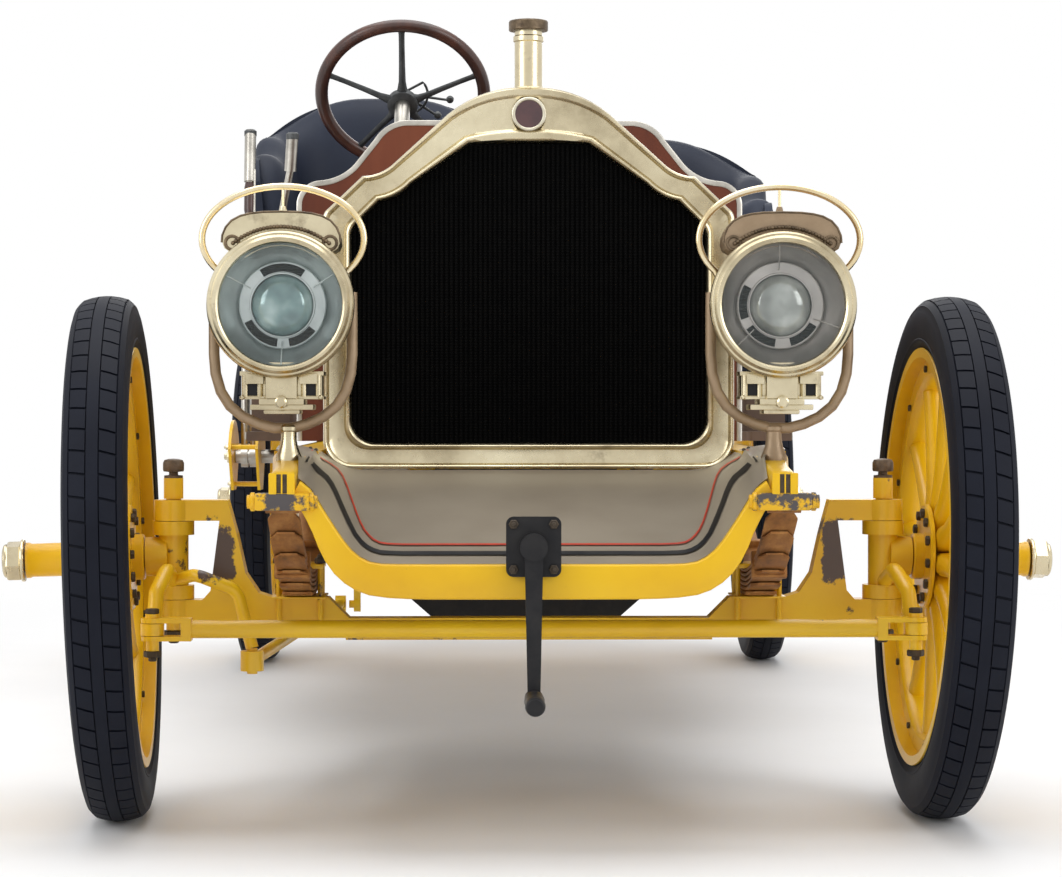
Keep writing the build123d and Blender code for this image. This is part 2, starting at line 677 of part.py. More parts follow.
def make_radiator_cap():
    cap = Cylinder(35.0, 16.0, align=(Align.CENTER, Align.CENTER, Align.MIN))
    cap += Pos(0, 0, 16) * Cone(31.0, 20.0, 6.0, align=(Align.CENTER, Align.CENTER, Align.MIN))
    return Pos(0, aft(radiator_depth / 2), radiator_top + 104.3) * cap


def make_badge():
    return Pos(0, aft(-gap), radiator_top - 48) * Rot(90, 0, 0) * Cylinder(
        30.0, 4.0, align=(Align.CENTER, Align.CENTER, Align.MIN))


# Front apron
def make_apron():
    high, low = radiator_bottom - 4.0, crossbar_drop_z + 50.0
    outline = closed_outline([
        Line((0, high), (rail_inner - 9, high)), Line((rail_inner - 9, high), (rail_inner - 18, high - 28)),
        Line((rail_inner - 18, high - 28), (rail_inner - 96, low)), Line((rail_inner - 96, low), (0, low)),
    ])
    front, back = aft(crossbar_station + crossbar_depth / 2) + gap, aft(-14.0)
    side = make_face(Polyline((front, low + 1), (front, low + 15.5), (back, high), (back, high - 3.5),
                              (front + 3, low + 12), (front + 3, low + 1), close=True))
    sheet = side_plate(side, -rail_inner, 2 * rail_inner)
    sheet -= Pos(0, front, crank_z) * Rot(90, 0, 0) * Cylinder(20.0, 120.0)
    return sheet & slab(outline, front - 10, back - front + 20)


# Bonnet
bonnet_front = radiator_depth + 7.0
bonnet_back = dash_station - 7.0
bonnet_sheet = 4.0
hinge_z = radiator_top - 7.0
hinge_radius = 6.0
hinge_stations = (190.0, 660.0, 1140.0)


def bonnet_edges(inset):
    """Right-hand half of the bonnet's section, top to bottom, inset from the radiator's outline."""
    w, a, top, t = radiator_half_width - inset, arch_half, radiator_top - inset, inset
    return [
        ThreePointArc((0, top - 8), (0.52 * a - t * 0.2, top - 18), (a - 6 - t * 0.7, top - 53 + t * 0.2)),
        Line((a - 6 - t * 0.7, top - 53 + t * 0.2), (0.654 * w - 5 + t * 0.3, top - 140 + t * 0.2)),
        ThreePointArc((0.654 * w - 5 + t * 0.3, top - 140 + t * 0.2), (0.726 * w - 4 + t * 0.5, top - 157),
                      (0.809 * w - 5 + t * 0.5, top - 164)),
        Line((0.809 * w - 5 + t * 0.5, top - 164), (0.975 * w - 8, top - 219 + t * 0.5)),
        ThreePointArc((0.975 * w - 8, top - 219 + t * 0.5), (0.993 * w - 8, top - 226 + t * 0.5),
                      (w - 8, top - 235 + t * 0.5)),
        Line((w - 8, top - 235 + t * 0.5), (w - 8, frame_top + 6.0)),
    ]


def make_bonnet_half(side):
    """Drawn on the car's left; the barrels of the two halves take turns along the rail."""
    outer, inner = bonnet_edges(0.0), bonnet_edges(bonnet_sheet)
    bottom = frame_top + 6.0
    w = radiator_half_width - 8
    section = make_face(Curve() + outer + inner
                        + Line((0, radiator_top - 8), (0, radiator_top - 8 - bonnet_sheet))
                        + Line((w, bottom), (w - bonnet_sheet, bottom)))
    panel = slab(section, aft(bonnet_front), bonnet_back - bonnet_front)
    trim = Pos(0, aft((bonnet_front + bonnet_back) / 2), hinge_z) * Box(
        2 * (hinge_radius + 2), 2000.0, 60.0)
    panel -= trim
    for station in hinge_stations:
        near, far = (station, station + 40) if side > 0 else (station + 40, station)
        panel -= Pos(8, aft(far), hinge_z) * Box(14.0, 34.0, 30.0)
        panel += Pos(0, aft(near), hinge_z) * Rot(90, 0, 0) * Cylinder(10.0, 28.0)
    return panel - Pos(0, aft(bonnet_front), hinge_z) * Rot(90, 0, 0) * Cylinder(
        hinge_radius + running_clearance, 3000.0)


def make_bonnet_rail():
    return Pos(0, aft(radiator_depth + gap), hinge_z) * Rot(-90, 0, 0) * Cylinder(
        hinge_radius, dash_station - radiator_depth - 2 * gap,
        align=(Align.CENTER, Align.CENTER, Align.MIN))


# Engine, gearbox and undertray
engine_half = 170.0
engine_low = frame_top - 148.0
exhaust_x = engine_half + 80.0
exhaust_z = frame_top - 175.0
silencer_station = wheelbase - 1200.0


def make_engine():
    return Pos(0, aft(330.0), engine_low) * Box(
        2 * engine_half, 680.0, 500.0, align=(Align.CENTER, Align.MIN, Align.MIN))


def make_undertray():
    top, low = engine_low - gap, engine_low - 175.0
    tray = make_face(Polyline((-215, low + 35), (-175, low), (175, low), (215, low + 35), (215, top),
                              (-215, top), close=True))
    return slab(tray, aft(380.0), 760.0)


def make_gearbox():
    low = frame_top - 245.0
    box = Pos(0, aft(1450.0), low) * Box(280.0, 400.0, 150.0, align=(Align.CENTER, Align.MIN, Align.MIN))
    box += Pos(0, aft(1140.6), low + 30.0) * Rot(-90, 0, 0) * Cylinder(
        45.0, 310.0, align=(Align.CENTER, Align.CENTER, Align.MIN))
    return box


def make_exhaust():
    x, z = exhaust_x, exhaust_z
    silencer = Pos(x, aft(silencer_station), z) * Rot(-90, 0, 0) * Cylinder(
        62.0, 560.0, align=(Align.CENTER, Align.CENTER, Align.MIN))
    pipe = bent_tube([(engine_half + 0.4, aft(880.0), z + 230), (x, aft(880.0), z + 230),
                      (x, aft(1000.0), z), (x, aft(silencer_station + 10.0), z)], [35, 60], 24.0)
    tail = Pos(x, aft(silencer_station + 550.0), z) * Rot(-90, 0, 0) * Cylinder(
        22.0, 500.0, align=(Align.CENTER, Align.CENTER, Align.MIN))
    return silencer + pipe + tail


# Scuttle and body
dash_thickness = 28.0
floor_low = frame_top + gap
floor_thickness = 20.0
floor_half = frame_half_width + 200.0
floor_end = wheelbase - 110.0
dash_half = radiator_half_width + 124.0
sill_height = 112.0
sill_start = 1420.0


def column_point(station):
    """Centre of the steering column at a station."""
    return (steering_wheel_x, aft(station),
            steering_wheel_z - (steering_wheel_station - station) * sin(radians(column_tilt))
            / cos(radians(column_tilt)))


column_radius = 19.0
wheel_hub_low = 49.0


def make_dash():
    h, top = dash_half, frame_top + 699.0
    outline = closed_outline([
        Line((0, top), (h - 245, top)),
        ThreePointArc((h - 245, top), (h - 200, top - 11), (h - 170, top - 40)),
        Line((h - 170, top - 40), (h - 127, top - 94)),
        ThreePointArc((h - 127, top - 94), (h - 97, top - 118), (h - 49, top - 132)),
        ThreePointArc((h - 49, top - 132), (h - 13, top - 149), (h, top - 184)),
        Line((h, top - 184), (h, floor_low)), Line((h, floor_low), (0, floor_low)),
    ])
    board = slab(outline, aft(dash_station), dash_thickness)
    return board - rod(column_point(1000.0), column_point(1500.0), column_radius + gap)


def make_floor():
    low = dash_station + dash_thickness + gap
    floor = Pos(0, aft(low), floor_low) * Box(
        2 * floor_half, floor_end - low, floor_thickness, align=(Align.CENTER, Align.MIN, Align.MIN))
    for side in (-1, 1):
        floor += Pos(side * (floor_half - 10), aft(sill_start), floor_low) * Box(
            20.0, seat_front - 20 - sill_start, sill_height, align=(Align.CENTER, Align.MIN, Align.MIN))
        floor += Pos(side * (dash_half + floor_half) / 2, aft(sill_start), floor_low) * Box(
            floor_half - dash_half, 20.0, sill_height, align=(Align.CENTER, Align.MIN, Align.MIN))
    return floor


def make_toe_board():
    low = floor_low + floor_thickness + gap
    front = aft(dash_station + dash_thickness + gap)
    high = frame_top + 215.0
    side = make_face(Polyline((front, high), (front, high - 18), (front + 180, low), (front + 204, low),
                              close=True))
    sheet = side_plate(side, -(dash_half - 15), 2 * (dash_half - 15))
    return sheet - rod(column_point(1000.0), column_point(1700.0), column_radius + gap)


# Seats. Two tubs of bent ply on closed boxes, flared and leaning back, with low arms that sweep up to
# an arched back. The driver's stands higher.
seat_x = floor_half - 255.0
seat_foot_half = 250.0
seat_flare = 0.103
seat_lean = 0.08
seat_front = wheelbase - 970.0
seat_corner = seat_front + 350.0
seat_round = 190.0
seat_wall = 20.0
seat_pad = 62.0
seat_base_low = floor_low + floor_thickness + gap
seat_box_height = 134.0
cushion_height = 130.0
seat_crest = frame_top + 788.0
arm_drop = 193.0
driver_lift = 112.0


def seat_section(z, inset=0.0, forward=0.0):
    """The tub's outline at a height, or one that lies inside it: straight sides, round rear corners."""
    rise = z - seat_base_low
    half = seat_foot_half + seat_flare * rise
    x, h = half - seat_round, half - inset
    y0, y1 = aft(seat_front) - forward, aft(seat_corner) + seat_lean * rise
    r = seat_round - inset
    k = r * cos(radians(45))
    return Pos(0, 0, z) * make_face(
        Curve() + Line((-h, y0), (-h, y1)) + ThreePointArc((-h, y1), (-x - k, y1 + k), (-x, y1 + r))
        + Line((-x, y1 + r), (x, y1 + r)) + ThreePointArc((x, y1 + r), (x + k, y1 + k), (h, y1))
        + Line((h, y1), (h, y0)) + Line((h, y0), (-h, y0))
    )


def seat_block(low, high, inset=0.0, forward=0.0):
    return loft([seat_section(low, inset, forward), seat_section(high, inset, forward)], ruled=True)


def seat_limits(lift, under=0.0):
    """What the arms, seen from the side, and the arch of the back, seen from the front, leave."""
    y0, low = aft(seat_front) - 5, seat_base_low - 1
    crest = seat_crest + lift - under
    arm, front = crest - arm_drop, crest - arm_drop - 110
    side = make_face(
        Curve()
        + Line((y0, low), (y0, front)) + ThreePointArc((y0, front), (y0 + 26, arm - 32), (y0 + 95, arm))
        + Line((y0 + 95, arm), (y0 + 260, arm))
        + ThreePointArc((y0 + 260, arm), (y0 + 400, arm + 74), (y0 + 500, crest))
        + Line((y0 + 500, crest), (y0 + 800, crest)) + Line((y0 + 800, crest), (y0 + 800, low))
        + Line((y0 + 800, low), (y0, low))
    )
    arch = closed_outline([
        Line((0, crest), (60, crest)), ThreePointArc((60, crest), (225, crest - 35), (312, crest - 115)),
        Line((312, crest - 115), (390, crest - 230)), Line((390, crest - 230), (390, low)),
        Line((390, low), (0, low)),
    ])
    return side_plate(side, -400, 800) & slab(arch, y0 - 10, 900.0)


def make_seat_shell(x, lift):
    box_top, crest = seat_base_low + seat_box_height + lift, seat_crest + lift
    tub = seat_block(seat_base_low, crest + 20)
    tub -= seat_block(box_top, crest + 30, seat_wall, 30.0)
    return Pos(x, 0, 0) * (tub & seat_limits(lift))


def make_cushion(x, lift):
    low = seat_base_low + seat_box_height + lift + 1.0
    return Pos(x, 0, 0) * seat_block(low, low + cushion_height, seat_wall + 1.0)


def make_seat_back(x, lift):
    """The stuffed lining of the arms and back, as one ring open to the front."""
    low, high = seat_base_low + seat_box_height + cushion_height + lift + 2.0, seat_crest + lift
    pad = seat_block(low, high, seat_wall + 1.0, -20.0)
    pad -= seat_block(low - 1, high + 1, seat_wall + seat_pad, 30.0)
    return Pos(x, 0, 0) * (pad & seat_limits(lift, 12.0))


# Fuel tank and tool box
tank_station = wheelbase + 10.0
tank_radius = 205.0
tank_half = frame_half_width + 30.0
tank_z = frame_top + 260.0
deck_start = tank_station + tank_radius + 20.0


def make_tank():
    """A drum tank across the frame, on two saddles that stand on the rails."""
    tank = Pos(0, aft(tank_station), tank_z) * Rot(0, 90, 0) * Cylinder(tank_radius, 2 * tank_half)
    tank += Pos(0, aft(tank_station), tank_z + tank_radius - 2) * Cylinder(34.0, 46.0)
    saddle_low = frame_top + gap
    for side in (-1, 1):
        tank += Pos(side * frame_half_width, aft(tank_station), saddle_low) * Box(
            50.0, 200.0, tank_z - 105 - saddle_low, align=(Align.CENTER, Align.CENTER, Align.MIN))
    return tank


def make_rear_deck():
    return Pos(0, aft(deck_start), floor_low) * Box(
        2 * frame_half_width + 20, frame_tail - deck_start - 10, 14.0,
        align=(Align.CENTER, Align.MIN, Align.MIN))


# Lamps
def on_both_sides(shape):
    return shape + mirrored(shape)


fork_half = 137.0
fork_bar = 9.0
fork_foot = frame_top + 39.0
bail_top = lamp_z + 196.0
hood_half = 100.0
hood_height = 66.0
hood_top = 147.0


def lamp_solids():
    y = aft(lamp_station)
    at = Pos(lamp_x, y, lamp_z)
    along = Rot(-90, 0, 0)
    drum = at * Pos(0, 26, 0) * along * Cylinder(
        lamp_radius - 10, 96.0, align=(Align.CENTER, Align.CENTER, Align.MIN))
    drum += at * along * Cylinder(lamp_radius, 28.0, align=(Align.CENTER, Align.CENTER, Align.MIN))
    drum += at * Pos(0, 122, 0) * along * Cone(
        lamp_radius - 10, 62.0, lamp_depth - 122, align=(Align.CENTER, Align.CENTER, Align.MIN))
    hood = Pos(0, hood_top - hood_height / 2) * SlotOverall(2 * hood_half, hood_height)
    drum += at * slab(hood, 26.0, 96.0)
    drum += at * Pos(0, 74, hood_top + 3) * Cylinder(12.0, 12.0)
    # Burner case: width, depth, how far below the lamp's centre it starts, and height
    for width, depth, drop, height in (
        (140.0, 76.0, 155.0, 46.0), (74.0, 96.0, 176.0, 90.0), (118.0, 88.0, 176.0, 9.0),
    ):
        drum += at * Pos(0, 74, -drop) * Box(
            width, depth, height, align=(Align.CENTER, Align.CENTER, Align.MIN))
    for x in (-52.0, 0.0, 52.0):
        drum -= at * Pos(x, 20, -134) * Box(16.0, 60.0, 22.0)
    drum -= at * Pos(0, -1, 0) * along * Cylinder(
        lamp_glass_radius, 96.0, align=(Align.CENTER, Align.CENTER, Align.MIN))
    return drum


def lamp_glass():
    at = Pos(lamp_x, aft(lamp_station) + 6, lamp_z)
    return at * Rot(-90, 0, 0) * Cylinder(
        lamp_glass_radius - gap, 4.0, align=(Align.CENTER, Align.CENTER, Align.MIN))


def lamp_fork():
    y = aft(lamp_station) + 74
    shoulder = fork_foot + 116.0
    loop = [(-fork_half, lamp_z + 6), (-fork_half, shoulder), (-88, fork_foot), (88, fork_foot),
            (fork_half, shoulder), (fork_half, lamp_z + 6)]
    fork = bent_tube([(lamp_x + x, y, z) for x, z in loop], [60, 50, 50, 60], fork_bar)
    for side in (-1, 1):
        pivot = Pos(lamp_x + side * (lamp_radius - 10 + gap), y, lamp_z) * Rot(0, side * 90, 0)
        fork += pivot * Cylinder(14.0, fork_half - lamp_radius + 22 - gap,
                                 align=(Align.CENTER, Align.CENTER, Align.MIN))
    post_low = frame_top - 14
    fork += Pos(frame_half_width + 6, y, post_low) * Cylinder(
        17.0, fork_foot - post_low, align=(Align.CENTER, Align.CENTER, Align.MIN))
    fork += Pos(frame_half_width + 6, y, post_low) * Cylinder(
        26.0, 12.0, align=(Align.CENTER, Align.CENTER, Align.MIN))
    rail = side_plate(rail_outline(), rail_inner - 5, rail_outer - rail_inner + 10)
    return fork - Pos(0, 0, gap) * rail


def lamp_bail():
    y = aft(lamp_station) + 74
    low, middle = lamp_z + 42.0, lamp_z + 102.0
    loop = [(-88, low), (-150, middle), (-112, bail_top), (112, bail_top), (150, middle), (88, low)]
    bail = bent_tube([(lamp_x + x, y, z) for x, z in loop], [44, 62, 62, 44], 6.0)
    bail += rod((lamp_x, y, lamp_z + hood_top + 9 + gap), (lamp_x, y, bail_top), 3.0)
    return bail - Pos(lamp_x, y, lamp_z) * Rot(90, 0, 0) * Cylinder(lamp_radius - 10 + gap, 60.0)


# Steering column, box, wheel, drop arm and drag link
def make_column():
    head = steering_wheel_station - (wheel_hub_low + gap) * cos(radians(column_tilt))
    column = rod(column_point(column_foot), column_point(head), column_radius)
    column += Pos(steering_wheel_x - 4, aft(drop_arm_station + 10), drop_arm_z + 5) * Box(94.0, 150.0, 110.0)
    return column + rod((drop_arm_x + 7 + gap, aft(drop_arm_station), drop_arm_z),
                        (steering_wheel_x - 20, aft(drop_arm_station), drop_arm_z), 26.0)


def make_drop_arm():
    y, z = aft(drop_arm_station), drop_arm_z
    x0, x1 = drop_arm_x - 7, drop_arm_x + 7
    arm = rod((x0, y, z), (x1, y, z), 24.0)
    arm += side_plate(make_face(Polyline((y - 17, z), (y + 17, z), (y + 11, z - drop_arm_length),
                                         (y - 11, z - drop_arm_length), close=True)), x0, 14.0)
    arm += rod((x0, y, z - drop_arm_length), (x1, y, z - drop_arm_length), 16.0)
    arm += rod((x0 - 10, y, z - drop_arm_length), (x1, y, z - drop_arm_length), 8.0)
    return arm


def drag_foot():
    return -kingpin_half + drag_arm_inset, front_axle_y - drag_arm_length, drag_link_z


def make_drag_link():
    """Tube from the knuckle's ball back to the drop arm; its rear eye stands clear of the arm."""
    front = carry(knuckle_turn(-1), drag_foot())
    rear = (drag_link_rear_x, aft(drop_arm_station), drop_arm_z - drop_arm_length)
    link = rod((front.X, front.Y, front.Z), rear, drag_link_radius)
    link += Pos(front) * Cylinder(20.0, 34.0)
    link -= Pos(front) * Cylinder(ball_stem_radius + running_clearance, 60.0)
    link += rod((rear[0] - 11, rear[1], rear[2]), (rear[0] + 11, rear[1], rear[2]), 18.0)
    return link - rod((rear[0] - 12, rear[1], rear[2]), (rear[0] + 12, rear[1], rear[2]), 9.0)


def make_steering_wheel():
    """Drawn flat about its own axis, then leaned back onto the column."""
    rim = revolve(Pos(steering_wheel_radius, 0) * Circle(steering_rim_radius), axis=Axis.Y)
    wheel = Rot(90, 0, 0) * rim
    wheel += Pos(0, 0, 15 - wheel_hub_low) * Cylinder(38.0, 30.0)
    for i in range(5):
        a = radians(72 * i - 90)
        tip = (steering_wheel_radius * cos(a), steering_wheel_radius * sin(a), 0)
        root = (26 * cos(a), 26 * sin(a), -34)
        wheel += rod(root, tip, 7.0)
    return steering_place() * wheel


def steering_place():
    return Pos(steering_wheel_x, aft(steering_wheel_station), steering_wheel_z) * Rot(
        -(90 - column_tilt), 0, 0)


lever_station = seat_front - 280.0
lever_shaft_z = frame_top - 45.0
brake_x = -(floor_half + 55.0)
gear_x = -(floor_half + 34.0)


def make_levers():
    """Hand brake and gear levers on the car's right, on a cross shaft."""
    y, z = aft(lever_station), lever_shaft_z
    levers = rod((brake_x - 21, y, z), (-rail_outer - gap, y, z), 16.0)
    brake = bent_tube([(brake_x, y, z), (brake_x, y + 8, z + 180), (brake_x + 5, y + 100, z + 690)],
                      [200], 9.0)
    brake += rod((brake_x + 5, y + 96, z + 670), (brake_x + 5, y + 120, z + 795), 14.0)
    gear = bent_tube([(gear_x, y, z), (gear_x, y - 8, z + 200), (gear_x + 74, y - 70, z + 580),
                      (gear_x + 98, y - 100, z + 690)], [120, 200], 9.0)
    gear += rod((gear_x + 96, y - 98, z + 680), (gear_x + 102, y - 110, z + 766), 14.0)
    for x in (brake_x, gear_x):
        levers += rod((x - 8, y, z), (x + 8, y, z), 26.0)
    return levers + brake + gear


def make_quadrant():
    """Two sector plates that the levers move between."""
    y, z = aft(lever_station), lever_shaft_z
    plates = None
    for x in (brake_x - 30, gear_x + 13):
        plate = side_plate(make_face(
            Curve() + ThreePointArc((y - 120, z + 20), (y, z + 88), (y + 120, z + 20))
            + Polyline((y + 120, z + 20), (y + 40, z - 80), (y - 40, z - 80), (y - 120, z + 20))), x, 7.0)
        plate -= rod((x - 5, y, z), (x + 12, y, z), 16.0 + gap)
        plates = plate if plates is None else plates + plate
    for dy, dz in ((-96, 24), (96, 24), (0, -66)):
        plates += rod((brake_x - 25, y + dy, z + dz), (gear_x + 18, y + dy, z + dz), 6.0)
    return plates


def make_pedals():
    """Three pedals on stems: the two outer by the column, the third to its left."""
    pedals = None
    foot_z = floor_low + floor_thickness + gap
    for x in (steering_wheel_x - 90, steering_wheel_x + 65, steering_wheel_x + 130):
        pedal = rod((x, aft(1540.0), foot_z + 8), (x, aft(1466.0), foot_z + 192), 7.0)
        pedal += Pos(x, aft(1464.0), foot_z + 196) * Rot(-30, 0, 0) * Box(56.0, 10.0, 70.0)
        pedal += Pos(x, aft(1540.0), foot_z + 6) * Box(30.0, 40.0, 12.0)
        pedals = pedal if pedals is None else pedals + pedal
    return pedals


# Write out
def write(name, shape):
    export_step(shape, f"parts/{name}.step")


wheel_places = (
    ("front_right", front_place(-1), front_hub_reach, False),
    ("front_left", front_place(1), front_hub_reach, False),
    ("rear_right", rear_place(-1), rear_hub_reach, True),
    ("rear_left", rear_place(1), rear_hub_reach, True),
)
tyre, spoked_wheel = make_tyre(), make_wheel()
for name, place, reach, braked in wheel_places:
    if not braked:
        place = place * Pos(wheel_reach, 0, 0)
    write(f"tyre_{name}", place * tyre)
    write(f"wheel_{name}", place * spoked_wheel)
    hub = make_hub(reach)
    if braked:
        hub = hub + make_drum()
    write(f"hub_{name}", place * hub)
    write(f"hub_cap_{name}", place * make_hub_cap(reach + gap))
write("front_axle", make_front_axle())
write("knuckle_right", make_knuckle(-1))
write("knuckle_left", make_knuckle(1))
write("tie_rod", make_tie_rod())
write("front_springs", make_front_springs())
write("rear_springs", make_rear_springs())
write("rear_axle", make_rear_axle())
write("frame", make_frame())
write("front_apron", make_apron())
write("crank_plate", make_crank_plate())
write("starting_crank", make_crank())
write("radiator_shell", make_radiator_shell())
write("radiator_core", make_radiator_core())
write("radiator_cap", make_radiator_cap())
write("radiator_badge", make_badge())
write("bonnet_left", make_bonnet_half(1))
write("bonnet_right", mirrored(make_bonnet_half(-1)))
write("bonnet_rail", make_bonnet_rail())
write("engine_block", make_engine())
write("undertray", make_undertray())
write("gearbox", make_gearbox())
write("exhaust", make_exhaust())
write("dash_board", make_dash())
write("toe_board", make_toe_board())
write("body_floor", make_floor())
write("rear_deck", make_rear_deck())
write("seat_shells", make_seat_shell(-seat_x, driver_lift) + make_seat_shell(seat_x, 0.0))
write("seat_cushions", make_cushion(-seat_x, driver_lift) + make_cushion(seat_x, 0.0))
write("seat_backs", make_seat_back(-seat_x, driver_lift) + make_seat_back(seat_x, 0.0))
write("fuel_tank", make_tank())
lamp = lamp_solids()
write("lamp_bodies", on_both_sides(lamp))
write("lamp_glasses", on_both_sides(lamp_glass()))
write("lamp_forks", on_both_sides(lamp_fork()))
write("lamp_bails", on_both_sides(lamp_bail() - lamp_fork()))
write("steering_column", make_column())
write("steering_wheel", make_steering_wheel())
write("drop_arm", make_drop_arm())
write("drag_link", make_drag_link())
write("hand_levers", make_levers())
write("lever_quadrant", make_quadrant())
write("pedals", make_pedals())
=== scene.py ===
import json
from math import atan2, cos, pi, radians, sin, tau

import bmesh
import bpy
from mathutils import Matrix, Vector, noise


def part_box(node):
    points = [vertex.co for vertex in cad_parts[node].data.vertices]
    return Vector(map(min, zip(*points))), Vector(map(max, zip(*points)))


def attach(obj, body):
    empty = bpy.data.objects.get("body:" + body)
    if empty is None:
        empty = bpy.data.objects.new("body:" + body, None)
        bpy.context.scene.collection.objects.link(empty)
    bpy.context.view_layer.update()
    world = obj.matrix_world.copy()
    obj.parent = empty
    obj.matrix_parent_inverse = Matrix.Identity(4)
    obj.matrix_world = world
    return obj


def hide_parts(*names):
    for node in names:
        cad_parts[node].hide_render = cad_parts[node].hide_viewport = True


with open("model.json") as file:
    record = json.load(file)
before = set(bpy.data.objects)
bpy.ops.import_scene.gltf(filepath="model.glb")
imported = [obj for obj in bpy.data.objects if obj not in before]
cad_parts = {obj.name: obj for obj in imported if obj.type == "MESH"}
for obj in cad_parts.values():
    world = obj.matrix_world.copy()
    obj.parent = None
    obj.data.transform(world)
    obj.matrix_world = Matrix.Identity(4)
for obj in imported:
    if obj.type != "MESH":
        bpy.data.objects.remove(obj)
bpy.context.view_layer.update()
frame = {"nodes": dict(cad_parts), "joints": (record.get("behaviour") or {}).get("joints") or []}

# Studio. A pale seamless floor, a soft overhead light with two side fills, and a camera at head-lamp
# height about five metres ahead of the front axle, as the car was photographed.
front_axle = sum(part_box("front_axle"), Vector()) / 2
photo_width, focal_pixels = 1062, 2862
eye_height, eye_reach, eye_offset = 0.7222, 5.017, -0.0817
look_right, look_down = 0.0170, 0.0114

lens = bpy.data.cameras.new("camera")
lens.sensor_width = 36.0
lens.lens = 36.0 * focal_pixels / photo_width
camera = bpy.data.objects.new("camera", lens)
camera.location = (eye_offset, front_axle.y - eye_reach, eye_height)
camera.rotation_euler = (pi / 2 - look_down, 0, -look_right)
bpy.context.collection.objects.link(camera)
bpy.context.scene.camera = camera
bpy.context.scene.view_settings.view_transform = "Standard"

world = bpy.data.worlds.new("studio")
world.use_nodes = True
bpy.context.scene.world = world
sky = world.node_tree
background = sky.nodes["Background"]
background.inputs["Strength"].default_value = 0.55
background.inputs["Color"].default_value = (1, 1, 1, 1)
white = sky.nodes.new("ShaderNodeBackground")
white.inputs["Color"].default_value = (1, 1, 1, 1)
white.inputs["Strength"].default_value = 1.0
rays = sky.nodes.new("ShaderNodeLightPath")
seen = sky.nodes.new("ShaderNodeMath")
seen.operation = "MAXIMUM"
sky.links.new(rays.outputs["Is Camera Ray"], seen.inputs[0])
either = sky.nodes.new("ShaderNodeMath")
either.operation = "MAXIMUM"
sky.links.new(rays.outputs["Is Glossy Ray"], either.inputs[0])
sky.links.new(rays.outputs["Is Transmission Ray"], either.inputs[1])
sky.links.new(either.outputs[0], seen.inputs[1])
mixed = sky.nodes.new("ShaderNodeMixShader")
sky.links.new(seen.outputs[0], mixed.inputs[0])
sky.links.new(background.outputs[0], mixed.inputs[1])
sky.links.new(white.outputs[0], mixed.inputs[2])
sky.links.new(mixed.outputs[0], sky.nodes["World Output"].inputs["Surface"])

for name, place, aim, size, watts in (
    ("overhead", (0.0, -0.6, 5.2), (0, 0, 0), 5.0, 190.0),
    ("left_fill", (-4.6, -4.2, 2.6), (0, -0.8, 0.7), 3.0, 90.0),
    ("right_fill", (4.6, -4.6, 2.6), (0, -0.8, 0.7), 3.0, 90.0),
    ("back_fill", (0.5, 6.0, 3.2), (0, 0, 0.6), 3.5, 80.0),
):
    light = bpy.data.lights.new(name, "AREA")
    light.energy = watts
    light.size = size
    lamp = bpy.data.objects.new(name, light)
    lamp.location = place
    lamp.rotation_euler = (Vector(aim) - Vector(place)).to_track_quat("-Z", "Y").to_euler()
    bpy.context.collection.objects.link(lamp)


class Sum:
    """A number that a node gives out. It adds, subtracts and multiplies like any other."""

    def __init__(self, finish, socket):
        self.finish = finish
        self.socket = socket

    def _with(self, operation, first, second):
        return self.finish.node("ShaderNodeMath", {"operation": operation}, {0: first, 1: second})

    def __add__(self, other):
        return self._with("ADD", self, other)

    __radd__ = __add__

    def __sub__(self, other):
        return self._with("SUBTRACT", self, other)

    def __rsub__(self, other):
        return self._with("SUBTRACT", other, self)

    def __mul__(self, other):
        return self._with("MULTIPLY", self, other)

    __rmul__ = __mul__


class Finish:
    """A material under way: its nodes, and the surface that they feed."""

    def __init__(self, name, **constants):
        self.material = bpy.data.materials.new(name)
        self.material.use_nodes = True
        self.tree = self.material.node_tree
        self.surface = self.tree.nodes["Principled BSDF"]
        for socket, value in constants.items():
            self.surface.inputs[socket.replace("_", " ")].default_value = value

    def node(self, kind, settings=None, sockets=None, output=0):
        """Adds a node: its settings first, then the values or links of its sockets."""
        made = self.tree.nodes.new(kind)
        for setting, value in (settings or {}).items():
            if setting == "stops":
                for _ in range(len(value) - 2):
                    made.color_ramp.elements.new(0.5)
                for element, (at, shade) in zip(made.color_ramp.elements, value):
                    element.position = at
                    element.color = (*shade, 1)
            else:
                setattr(made, setting, value)
        for socket, value in (sockets or {}).items():
            if isinstance(value, Sum):
                self.tree.links.new(value.socket, made.inputs[socket])
            else:
                made.inputs[socket].default_value = value
        return Sum(self, made.outputs[output])

    def place(self, stretch=(1, 1, 1)):
        """Where a point lies in the object's own frame, stretched along an axis if need be."""
        point = self.node("ShaderNodeTexCoord", output=3)
        return self.node("ShaderNodeMapping", {}, {0: point, 3: stretch})

    def speckle(self, scale, detail=4.0, rough=0.55, stretch=(1, 1, 1)):
        return self.node("ShaderNodeTexNoise", {}, {
            "Vector": self.place(stretch), "Scale": scale, "Detail": detail, "Roughness": rough})

    def ramp(self, value, *stops):
        return self.node("ShaderNodeValToRGB", {"stops": stops}, {0: value})

    def mask(self, value, *edges):
        """Black up to the first edge and white from the second; a third and a fourth turn it back."""
        return self.ramp(value, *zip(edges, ((0, 0, 0), (1, 1, 1), (1, 1, 1), (0, 0, 0))))

    def blend(self, amount, first, second):
        return self.node("ShaderNodeMix", {"data_type": "RGBA"}, {0: amount, 6: first, 7: second}, output=2)

    def raise_by(self, height, strength, distance):
        return self.node("ShaderNodeBump", {}, {
            "Height": height, "Strength": strength, "Distance": distance})

    def feed(self, **sockets):
        for socket, value in sockets.items():
            self.tree.links.new(value.socket, self.surface.inputs[socket.replace("_", " ")])
        return self.material


